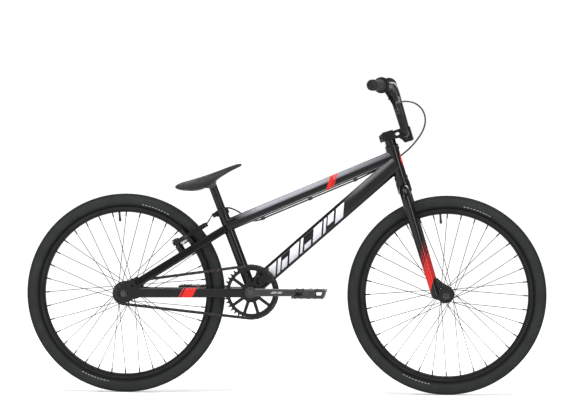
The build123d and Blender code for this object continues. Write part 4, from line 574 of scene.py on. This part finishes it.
FRAME_PLAIN = plain_paint("frame_paint")
FINISHES = {
    "frame_paint": FRAME_PLAIN,
    "fork_paint": plain_paint("fork_paint"),
    "tyre_rubber": tyre_rubber(),
    "tube_rubber": plain_finish("tube_rubber", (0.010, 0.010, 0.010), (0.03, 0.03, 0.03), 0.6),
    "black_alloy": plain_finish("black_alloy", (0.006, 0.006, 0.0065), (0.022, 0.022, 0.023), 0.36,
                                0.35, 0.2, 1200.0, 0.07, 0.2),
    "rim_alloy": rim_alloy(),
    "spoke_steel": spoke_steel(),
    "bearing_steel": plain_finish("bearing_steel", (0.35, 0.35, 0.36), (0.55, 0.55, 0.56), 0.25,
                                  1.0),
    "chain_steel": chain_steel(),
    "black_steel": plain_finish("black_steel", (0.008, 0.008, 0.0085), (0.03, 0.03, 0.03), 0.38,
                                0.6, 0.15, 700.0, 0.09, 0.2),
    "bolt_steel": plain_finish("bolt_steel", (0.07, 0.07, 0.073), (0.20, 0.20, 0.205), 0.33, 1.0,
                               0.0, 800.0, 0.08),
    "grip_rubber": grip_rubber(),
    "saddle_cover": saddle_cover(),
    "pedal_plastic": pedal_plastic(),
    "cable_housing": plain_finish("cable_housing", (0.010, 0.010, 0.010), (0.03, 0.03, 0.03), 0.30,
                                  0.0, 0.2, 500.0, 0.04),
    "noodle_steel": plain_finish("noodle_steel", (0.24, 0.24, 0.25), (0.45, 0.45, 0.46), 0.30, 1.0),
    "pad_rubber": plain_finish("pad_rubber", (0.016, 0.016, 0.016), (0.05, 0.05, 0.05), 0.8),
}
SPECIAL = {
    "top_tube": top_tube_paint(), "down_tube": down_tube_paint(), "chainstays": chainstay_paint(),
    "head_tube": head_tube_paint(), "fork_legs": fork_paint(),
}
CRANK = crank_alloy()
SPECIAL["right_crank_arm"] = SPECIAL["left_crank_arm"] = CRANK


SLOT_OF = {part["node"]: part["material_slot"] for part in frame["record"]["subparts"]}


def paint_nodes():
    for name, node in frame["nodes"].items():
        chosen = SPECIAL.get(name) or FINISHES[SLOT_OF[name]]
        for material_slot in node.material_slots:
            material_slot.material = chosen.material


paint_nodes()


# ---- mesh helpers ----
def new_piece(name, mesh, body, shade, smooth=True):
    if smooth:
        mesh.shade_smooth()
    mesh.materials.clear()
    mesh.materials.append(shade.material)
    piece = bpy.data.objects.new(name, mesh)
    bpy.context.collection.objects.link(piece)
    if body:
        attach(piece, body)
    return piece


def grid_mesh(name, rows, closed_rows=True, closed_columns=True, caps=False):
    """A mesh over rows of points; rows and columns may each close on themselves."""
    count, width = len(rows), len(rows[0])
    verts = [point for row in rows for point in row]
    faces = []
    for i in range(count if closed_rows else count - 1):
        for j in range(width if closed_columns else width - 1):
            a, b = i * width + j, i * width + (j + 1) % width
            c, d = ((i + 1) % count) * width + (j + 1) % width, ((i + 1) % count) * width + j
            faces.append((a, b, c, d))
    if caps:
        faces.append(tuple(range(width)))
        faces.append(tuple((count - 1) * width + j for j in range(width)))
    mesh = bpy.data.meshes.new(name)
    mesh.from_pydata([tuple(v) for v in verts], [], faces)
    outward(mesh)
    return mesh


def outward(mesh):
    bm = bmesh.new()
    bm.from_mesh(mesh)
    bmesh.ops.remove_doubles(bm, verts=bm.verts, dist=1e-7)
    bmesh.ops.recalc_face_normals(bm, faces=bm.faces)
    bm.to_mesh(mesh)
    bm.free()


def merged(name, meshes):
    bm = bmesh.new()
    for mesh in meshes:
        bm.from_mesh(mesh)
    whole = bpy.data.meshes.new(name)
    bm.to_mesh(whole)
    bm.free()
    return whole


def block_mesh(name, size, bevel):
    """A box with rounded edges, centred on the origin."""
    bm = bmesh.new()
    bmesh.ops.create_cube(bm, size=1.0, matrix=Matrix.Diagonal((*size, 1)))
    if bevel:
        corners = bm.edges[:] + bm.verts[:]
        bmesh.ops.bevel(bm, geom=corners, offset=bevel, segments=1, affect="EDGES")
    mesh = bpy.data.meshes.new(name)
    bm.to_mesh(mesh)
    bm.free()
    return mesh


def smooth_line(points):
    """Points read off one smooth spline through a route."""
    curve = bpy.data.curves.new("route", "CURVE")
    curve.dimensions = "3D"
    curve.resolution_u = 8
    spline = curve.splines.new("NURBS")
    spline.points.add(len(points) - 1)
    for target, point in zip(spline.points, points):
        target.co = (*point, 1)
    spline.order_u = 3
    spline.use_endpoint_u = True
    holder = bpy.data.objects.new("route", curve)
    bpy.context.collection.objects.link(holder)
    bpy.context.view_layer.update()
    plain = bpy.data.meshes.new_from_object(holder.evaluated_get(
        bpy.context.evaluated_depsgraph_get()))
    line = [vert.co.copy() for vert in plain.vertices]
    bpy.data.objects.remove(holder)
    bpy.data.meshes.remove(plain)
    return line


def tube_mesh(name, line, radius, sides=14, closed=False):
    """A round tube whose sections don't twist along a line of points."""
    rows = []
    count = len(line)
    side = None
    for i, point in enumerate(line):
        before = line[i - 1] if i or closed else point
        after = line[(i + 1) % count] if i + 1 < count or closed else point
        run = (after - before).normalized()
        if side is None:
            side = run.orthogonal().normalized()
        side = (side - run * side.dot(run)).normalized()
        other = run.cross(side)
        rows.append([
            point + (side * cos(2 * pi * j / sides) + other * sin(2 * pi * j / sides)) * radius
            for j in range(sides)
        ])
    return grid_mesh(name, rows, closed_rows=closed, caps=not closed)


# ---- scattering trees ----
def instances_tree(name, unit_name, shade):
    """Puts a unit on each point of a mesh, turned to its normal and its stored tangent."""
    tree = bpy.data.node_groups.new(name, "GeometryNodeTree")
    face = tree.interface
    face.new_socket("Points", in_out="INPUT", socket_type="NodeSocketGeometry")
    face.new_socket(unit_name, in_out="INPUT", socket_type="NodeSocketObject")
    size = face.new_socket("Scale", in_out="INPUT", socket_type="NodeSocketFloat")
    size.default_value = 1.0
    face.new_socket("Geometry", in_out="OUTPUT", socket_type="NodeSocketGeometry")
    nodes, links = tree.nodes, tree.links
    given = nodes.new("NodeGroupInput")
    result = nodes.new("NodeGroupOutput")
    unit = nodes.new("GeometryNodeObjectInfo")
    links.new(given.outputs[unit_name], unit.inputs["Object"])
    turn = nodes.new("GeometryNodeInputNamedAttribute")
    turn.data_type = "QUATERNION"
    turn.inputs["Name"].default_value = "turn"
    place = nodes.new("GeometryNodeInstanceOnPoints")
    links.new(given.outputs["Points"], place.inputs["Points"])
    links.new(unit.outputs["Geometry"], place.inputs["Instance"])
    links.new(turn.outputs["Attribute"], place.inputs["Rotation"])
    links.new(given.outputs["Scale"], place.inputs["Scale"])
    real = nodes.new("GeometryNodeRealizeInstances")
    links.new(place.outputs["Instances"], real.inputs["Geometry"])
    paint = nodes.new("GeometryNodeSetMaterial")
    paint.inputs["Material"].default_value = shade.material
    links.new(real.outputs["Geometry"], paint.inputs["Geometry"])
    links.new(paint.outputs["Geometry"], result.inputs["Geometry"])
    return tree


def scatter(name, unit_mesh, places, shade):
    """One plain mesh of a unit repeated at (point, right, up) places, through Geometry Nodes."""
    unit = bpy.data.objects.new(name + "_unit", unit_mesh)
    bpy.context.collection.objects.link(unit)
    points = bpy.data.meshes.new(name + "_points")
    points.from_pydata([tuple(place[0]) for place in places], [], [])
    turns = points.attributes.new("turn", "QUATERNION", "POINT")
    for item, (_, right, up) in zip(turns.data, places):
        right, up = right.normalized(), up.normalized()
        basis = Matrix((right, up.cross(right), up)).transposed()
        item.value = basis.to_quaternion()
    holder = bpy.data.objects.new(name + "_points", points)
    bpy.context.collection.objects.link(holder)
    modifier = holder.modifiers.new("scatter", "NODES")
    tree = instances_tree(name + "_tree", "Unit", shade)
    modifier.node_group = tree
    for item in tree.interface.items_tree:
        if item.in_out == "INPUT" and item.name == "Unit":
            modifier[item.identifier] = unit
    bpy.context.view_layer.update()
    made = bpy.data.meshes.new_from_object(holder.evaluated_get(
        bpy.context.evaluated_depsgraph_get()))
    made.name = name
    bpy.data.objects.remove(holder)
    bpy.data.objects.remove(unit)
    return made


# ---- tyres ----
# (distance out from the tyre's middle plane, distance in from its crown), both in millimetres
TYRE_PROFILE = (
    (0.0, 2.6), (6.0, 2.75), (11.5, 3.6), (15.5, 5.6), (18.6, 8.8), (20.6, 13.0), (21.9, 18.0),
    (22.2, 22.0), (21.2, 26.5), (18.4, 31.0), (15.0, 34.6), (13.4, 36.4), (12.2, 37.8),
    (10.2, 38.6), (9.2, 40.2), (9.1, 43.6), (8.2, 44.6), (7.0, 44.2), (6.6, 41.0), (7.6, 37.6),
    (10.4, 34.4), (14.5, 31.2), (17.2, 27.0), (18.4, 22.0), (18.0, 16.5), (15.6, 11.0),
    (11.0, 7.3), (0.0, 5.9),
)


def tyre_place(hub, turn, out, depth):
    radius = TYRE_R - depth * MM
    return Vector((hub.x + radius * cos(turn), out * MM, hub.z + radius * sin(turn)))


def tyre_casing(name, hub, steps=144):
    ring = [(out, depth) for out, depth in TYRE_PROFILE]
    ring += [(-out, depth) for out, depth in TYRE_PROFILE[-2:0:-1]]
    rows = []
    for step in range(steps):
        turn = 2 * pi * step / steps
        rows.append([tyre_place(hub, turn, out, depth) for out, depth in ring])
    return grid_mesh(name, rows)


# (out, depth of the block's middle, length along the tread, width across it, height, quarter steps)
TREAD_ROWS = (
    (0.0, 1.55, 8.4, 4.2, 2.9, 0.0), (6.4, 2.05, 8.0, 4.6, 2.8, 0.5),
    (-6.4, 2.05, 8.0, 4.6, 2.8, 0.5), (12.0, 3.0, 7.6, 4.0, 2.7, 0.0),
    (-12.0, 3.0, 7.6, 4.0, 2.7, 0.0), (16.6, 5.9, 6.6, 3.2, 2.4, 0.5),
    (-16.6, 5.9, 6.6, 3.2, 2.4, 0.5),
)
TREAD_COUNT = 168


def tread_blocks(name, hub, shade):
    """Rows of small bevelled blocks round the crown, each row shifted by half a step."""
    meshes = []
    for number, (out, depth, length, width, height, shift) in enumerate(TREAD_ROWS):
        unit = block_mesh(f"{name}_block_{number}", (length * MM, width * MM, height * MM), 0.0005)
        places = []
        lean = math.asin(max(-1.0, min(1.0, out / 26.0)))
        for step in range(TREAD_COUNT):
            turn = 2 * pi * (step + shift) / TREAD_COUNT
            outward_way = Vector((cos(turn), 0, sin(turn)))
            along = Vector((-sin(turn), 0, cos(turn)))
            up = outward_way * cos(lean) + Vector((0, 1, 0)) * sin(lean)
            places.append((tyre_place(hub, turn, out, depth), along, up))
        meshes.append(scatter(f"{name}_row_{number}", unit, places, shade))
    return merged(name, meshes)


def wall_blocks(name, hub, shade):
    """Short pale dashes moulded on each wall in place of any lettering."""
    unit = block_mesh(name + "_dash", (0.0062, 0.0020, 0.0005), 0.0002)
    places = []
    for side in (1, -1):
        for start in (62, 242):
            for step in range(9):
                turn = radians(start + step * 2.1)
                outward_way = Vector((cos(turn), 0, sin(turn)))
                along = Vector((-sin(turn), 0, cos(turn)))
                up = (Vector((0, side, 0)) * 0.93 - outward_way * 0.36).normalized()
                places.append((tyre_place(hub, turn, side * 19.95, 28.6), along, up))
    return scatter(name, unit, places, shade)


def make_tyres():
    rubber = FINISHES["tyre_rubber"]
    pale = plain_finish("tyre_marking", (0.30, 0.31, 0.30), (0.45, 0.46, 0.45), 0.7)
    for end, hub in (("front", FRONT_HUB), ("rear", REAR_HUB)):
        body = end + "_wheel"
        casing = new_piece(end + "_tyre_casing", tyre_casing(end + "_tyre_casing", hub), body,
                           rubber)
        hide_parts(end + "_tyre")
        new_piece(end + "_tyre_tread", tread_blocks(end + "_tyre_tread", hub, rubber), body,
                  rubber, smooth=False)
        new_piece(end + "_tyre_marks", wall_blocks(end + "_tyre_marks", hub, pale), body, pale,
                  smooth=False)


make_tyres()


# ---- saddle ----
# (ahead of the pivot, half width, crown height, edge height, underside height), in millimetres
SADDLE_STATIONS = (
    (-103.6, 34, -19.5, -22.5, -25.5), (-99.0, 47, -15.5, -22.0, -29.0),
    (-88.0, 58, -9.5, -21.0, -33.2), (-70.0, 64, -4.4, -19.5, -35.2),
    (-50.0, 62, 1.4, -16.5, -36.0), (-30.0, 53, 7.8, -12.0, -33.6), (-12.0, 43, 13.4, -7.5, -26.5),
    (8.0, 32, 20.6, 0.5, -13.0), (28.0, 25, 28.2, 10.5, 3.4), (50.0, 21.5, 36.6, 22.0, 18.0),
    (70.0, 19.5, 44.0, 33.5, 29.0), (84.0, 17.5, 48.2, 40.0, 35.8), (92.0, 13.5, 48.4, 43.2, 39.8),
    (95.2, 8.0, 46.4, 44.2, 42.4),
)
SADDLE_AT = BB + SEAT_UP * 0.353 + Vector((-0.003, 0, 0.006))


def saddle_ring(ahead, half, crown, edge, under):
    """One cross-section: a crowned top, a rounded rim at the edge, and a shallow underside."""
    shape = (
        (0.0, crown), (0.38, crown - (crown - edge) * 0.10), (0.68, crown - (crown - edge) * 0.32),
        (0.90, crown - (crown - edge) * 0.66), (1.0, edge), (0.965, edge - (edge - under) * 0.40),
        (0.84, edge - (edge - under) * 0.72), (0.55, under + (edge - under) * 0.06), (0.0, under),
    )
    right = [(half * share, height) for share, height in shape]
    whole = right + [(-left, height) for left, height in right[-2:0:-1]]
    return [SADDLE_AT + Vector((ahead, left, height)) * MM for left, height in whole]


def saddle_mesh():
    rings = [saddle_ring(*station) for station in SADDLE_STATIONS]
    return grid_mesh("saddle_padded", rings, closed_rows=False, caps=True)


def apply_subdivision(mesh, levels):
    holder = bpy.data.objects.new("to_subdivide", mesh)
    bpy.context.collection.objects.link(holder)
    modifier = holder.modifiers.new("smooth", "SUBSURF")
    modifier.levels = modifier.render_levels = levels
    bpy.context.view_layer.update()
    done = bpy.data.meshes.new_from_object(holder.evaluated_get(
        bpy.context.evaluated_depsgraph_get()))
    done.name = mesh.name
    bpy.data.objects.remove(holder)
    return done


def saddle_seam():
    """A raised welt that follows the saddle's widest edge all the way round."""
    right, left = [], []
    for ahead, half, _, edge, _ in SADDLE_STATIONS:
        right.append(SADDLE_AT + Vector((ahead, -half * 0.985, edge)) * MM)
        left.append(SADDLE_AT + Vector((ahead, half * 0.985, edge)) * MM)
    loop = right + left[::-1]
    line = []
    for i, point in enumerate(loop):
        nearby = loop[i - 1], loop[(i + 1) % len(loop)]
        line.append(point * 0.5 + (nearby[0] + nearby[1]) * 0.25)
    dense = []
    for i, point in enumerate(line):
        after = line[(i + 1) % len(line)]
        dense += [point.lerp(after, step / 3) for step in range(3)]
    for _ in range(3):
        dense = [
            point * 0.5 + (dense[i - 1] + dense[(i + 1) % len(dense)]) * 0.25
            for i, point in enumerate(dense)
        ]
    return tube_mesh("saddle_welt", dense, 0.0011, 8, closed=True)


def make_saddle():
    leather = FINISHES["saddle_cover"]
    mesh = apply_subdivision(saddle_mesh(), 3)
    saddle = new_piece("saddle_padded", mesh, "saddle_body", leather)
    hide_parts("saddle")
    new_piece("saddle_welt", saddle_seam(), "saddle_body", leather)
    neck = neck_mesh()
    new_piece("saddle_base", neck, "saddle_body", FINISHES["pedal_plastic"])


NECK_INNER = 0.86


def neck_mesh():
    """The moulded socket under the saddle that wraps the post's head."""
    rows = []
    for height, front, rear, wide in (
        (-26.0, 13.5, -15.0, 20.5), (-24.5, 16.0, -17.5, 22.5), (-8.0, 19.0, -20.5, 23.5),
        (4.0, 21.0, -22.5, 24.0), (9.0, 22.0, -24.0, 24.0),
    ):
        row = []
        middle_x, half_x = (front + rear) / 2, (front - rear) / 2
        for step in range(32):
            turn = 2 * pi * step / 32
            shape = (abs(cos(turn)) ** 4 + abs(sin(turn)) ** 4) ** 0.25
            row.append(SADDLE_AT + Vector((
                middle_x + half_x * cos(turn) / shape, wide * sin(turn) / shape, height)) * MM)
        rows.append(row)
    inner = [[SADDLE_AT + (point - SADDLE_AT) * NECK_INNER for point in row] for row in rows]
    shell = rows + inner[::-1]
    return grid_mesh("saddle_base", shell, closed_rows=True)


# ---- brake cable ----
CABLE_R = 0.0025
HOUSING_EXIT_X = 0.3313
HOUSING_EXIT_Z = 0.8731
LOOP_ROUTE = (
    (3.1, -167, 223), (22.1, -145, 225), (44.1, -118, 221), (62.1, -92, 208), (73.1, -68, 189),
    (76.1, -46, 165), (69.1, -27, 140), (55.1, -9, 117), (38.1, 6, 96), (19.1, 18, 77),
    (-0.9, 24, 61), (-23.9, 25, 45),
)
REAR_ROUTE = (
    (65.3, 20.7, 13.9), (45.3, 20.7, 30.9), (25.3, 20.7, 44.9), (0.3, 23.5, 53.9),
    (-20.7, 25.5, 48.9), (-39.4, 31.0, 35.9),
)


def by_head(x, left, up):
    return HEAD_LOW + Vector((x, left, up)) * MM


def by_seat(x, left, up):
    return TOP_REAR + Vector((x, left, up)) * MM


def under_top(x, left):
    """A point on the cable's straight run below the top tube."""
    slope = TOP_RUN.z / TOP_RUN.x
    drop = (0.0185 + CABLE_R + 0.0012) / TOP_RUN.x
    return Vector((x, left, TOP_REAR.z + (x - TOP_REAR.x) * slope - drop))


def make_cable():
    housing = FINISHES["cable_housing"]
    loop_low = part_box("brake_cable_loop")[0]
    start = Vector((HOUSING_EXIT_X, loop_low[1], HOUSING_EXIT_Z))
    loop = [start, start + Vector((0, 0.013, 0))] + [by_head(*point) for point in LOOP_ROUTE]
    mesh = tube_mesh("brake_housing_loop", smooth_line(loop), CABLE_R)
    piece = new_piece("brake_housing_loop", mesh, None, housing)
    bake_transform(piece)
    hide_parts("brake_cable_loop")

    run = [
        loop[-1] + (loop[-1] - loop[-2]).normalized() * 0.0005, by_head(-49.9, 24.5, 30.0),
        by_head(-79.9, 22.5, 14.5), under_top(HEAD_LOW.x - 0.1139, 0.012),
        under_top(HEAD_LOW.x - 0.135, 0.012), under_top(TOP_REAR.x + 0.112, 0.012),
        under_top(TOP_REAR.x + 0.0893, 0.012),
    ] + [by_seat(*point) for point in REAR_ROUTE]
    mesh = tube_mesh("brake_housing_run", smooth_line(run), CABLE_R)
    piece = new_piece("brake_housing_run", mesh, "frame", housing)
    end_way = (run[-1] - run[-2]).normalized()
    ferrule = tube_mesh("brake_housing_ferrule", [
        run[-1] - end_way * 0.011, run[-1] - end_way * 0.0105, run[-1] - end_way * 0.0008,
        run[-1] - end_way * 0.0002], 0.0035)
    new_piece("brake_housing_ferrule", ferrule, "frame", FINISHES["noodle_steel"])
    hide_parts("brake_cable")


def make_inner_wire():
    """The bare wire between the arm tips: clamped to the right arm, it slides through the left."""
    low, high = (Vector(corner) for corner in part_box("brake_wire"))
    at = (low + high) / 2
    line = [Vector((at.x, low.y + (high.y - low.y) * k / 8, at.z)) for k in range(9)]
    mesh = tube_mesh("brake_inner_wire", line, (high.x - low.x) / 2 * 0.98, 10)
    piece = new_piece("brake_inner_wire", mesh, "right_arm", FINISHES["noodle_steel"])
    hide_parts("brake_wire")


make_saddle()
make_cable()
make_inner_wire()


# ---- weld beads ----
def weld_line(start, run, rise, half_high, half_wide, post, post_axis, post_r, corner=0.0,
              steps=72):
    """Where the outside of a tube meets a round post: points, and the tube's outward directions."""
    line = []
    side = Vector((0, 1, 0))
    power = 3.0 if corner else 2.0
    for step in range(steps):
        turn = 2 * pi * step / steps
        shape = (abs(cos(turn)) ** power + abs(sin(turn)) ** power) ** (1 / power)
        offset = rise * (half_high * cos(turn) / shape) + side * (half_wide * sin(turn) / shape)
        origin = start + offset
        across = origin - post
        across -= post_axis * across.dot(post_axis)
        way = run - post_axis * run.dot(post_axis)
        a, b, c = way.dot(way), 2 * across.dot(way), across.dot(across) - post_r**2
        inside = b * b - 4 * a * c
        if inside < 0:
            continue
        reach = (-b - math.sqrt(inside)) / (2 * a)
        line.append((origin + run * reach, offset.normalized(), run))
    return line


def weld_bead(name, line, body, shade, size=0.0021, pitch=0.0021):
    """A row of overlapping flattened drops along a seam."""
    dense = []
    for i, (point, out, run) in enumerate(line):
        after, out_after, _ = line[(i + 1) % len(line)]
        gap = (after - point).length
        if gap > 0.02:
            continue
        count = max(1, round(gap / 0.0003))
        dense += [(point.lerp(after, k / count), out.lerp(out_after, k / count), run)
                  for k in range(count)]
    places, last = [], None
    for point, out, run in dense:
        if last is None or (point - last).length >= pitch:
            along = (point - last) if last else out.cross(run)
            places.append((point + out * 0.0002 - run * 0.0004, along.normalized(),
                           (out - run).normalized()))
            last = point
    bm = bmesh.new()
    bmesh.ops.create_icosphere(bm, subdivisions=2, radius=1.0, matrix=Matrix.Diagonal(
        (size * 0.95, size * 1.35, size * 0.62, 1)))
    unit = bpy.data.meshes.new(name + "_drop")
    bm.to_mesh(unit)
    bm.free()
    unit.shade_smooth()
    new_piece(name, scatter(name, unit, places, shade), body, shade)


def make_welds():
    paint = FRAME_PLAIN
    head_axis = HEAD_UP
    weld_bead("weld_top_tube_head", weld_line(
        TOP_REAR, TOP_RUN, TOP_RISE, 0.0185, 0.0168, HEAD_LOW, head_axis, 0.0185, 1), "frame",
        paint)
    weld_bead("weld_down_tube_head", weld_line(
        DOWN_REAR, DOWN_RUN, DOWN_RISE, 0.0245, 0.0180, HEAD_LOW, head_axis, 0.0185, 1), "frame",
        paint)
    weld_bead("weld_top_tube_seat", weld_line(
        TOP_FRONT, -TOP_RUN, TOP_RISE, 0.0185, 0.0150, BB, SEAT_UP, 0.0155, 1), "frame",
        paint)
    shell_axis = Vector((0, 1, 0))
    weld_bead("weld_seat_tube_shell", weld_line(
        BB + SEAT_UP * 0.2, -SEAT_UP, Vector((SEAT_UP.z, 0, -SEAT_UP.x)), 0.0155, 0.0155, BB,
        shell_axis, 0.0235), "frame", paint)
    weld_bead("weld_down_tube_shell", weld_line(
        DOWN_FRONT, -DOWN_RUN, DOWN_RISE, 0.0240, 0.0200, BB, shell_axis, 0.0235, 1), "frame",
        paint)


# ---- brake springs ----
# (up the arm, out from it) at the bends of a spring's straight leg, in metres
SPRING_LEG = ((0.006, 0.002), (0.022, 0.0045), (0.044, 0.0055))


def spring_wire(side):
    """The return spring of one brake arm: a coil round the pivot and a straight leg up the arm."""
    pivot = Vector(JOINTS[side + "_arm_swing"]["pos_m"])
    sign = 1 if side == "left" else -1
    line = []
    turns, steps = 3.25, 18
    for step in range(int(turns * steps) + 1):
        turn = 2 * pi * step / steps
        line.append(pivot + STAY_OUT * (-0.0165 + 0.0022 * turn / (2 * pi)) + (
            ARM_UP * cos(turn) + Vector((0, 1, 0)) * sin(turn)) * 0.0078)
    last = line[-1]
    outward_side = Vector((0, sign, 0))
    for up, out in SPRING_LEG:
        line.append(last + ARM_UP * up + outward_side * out)
    return line


def make_springs():
    wire = FINISHES["bolt_steel"]
    for side in ("left", "right"):
        mesh = tube_mesh(side + "_brake_spring", spring_wire(side), 0.0006, 8)
        new_piece(side + "_brake_spring", mesh, side + "_arm", wire)


make_welds()
make_springs()
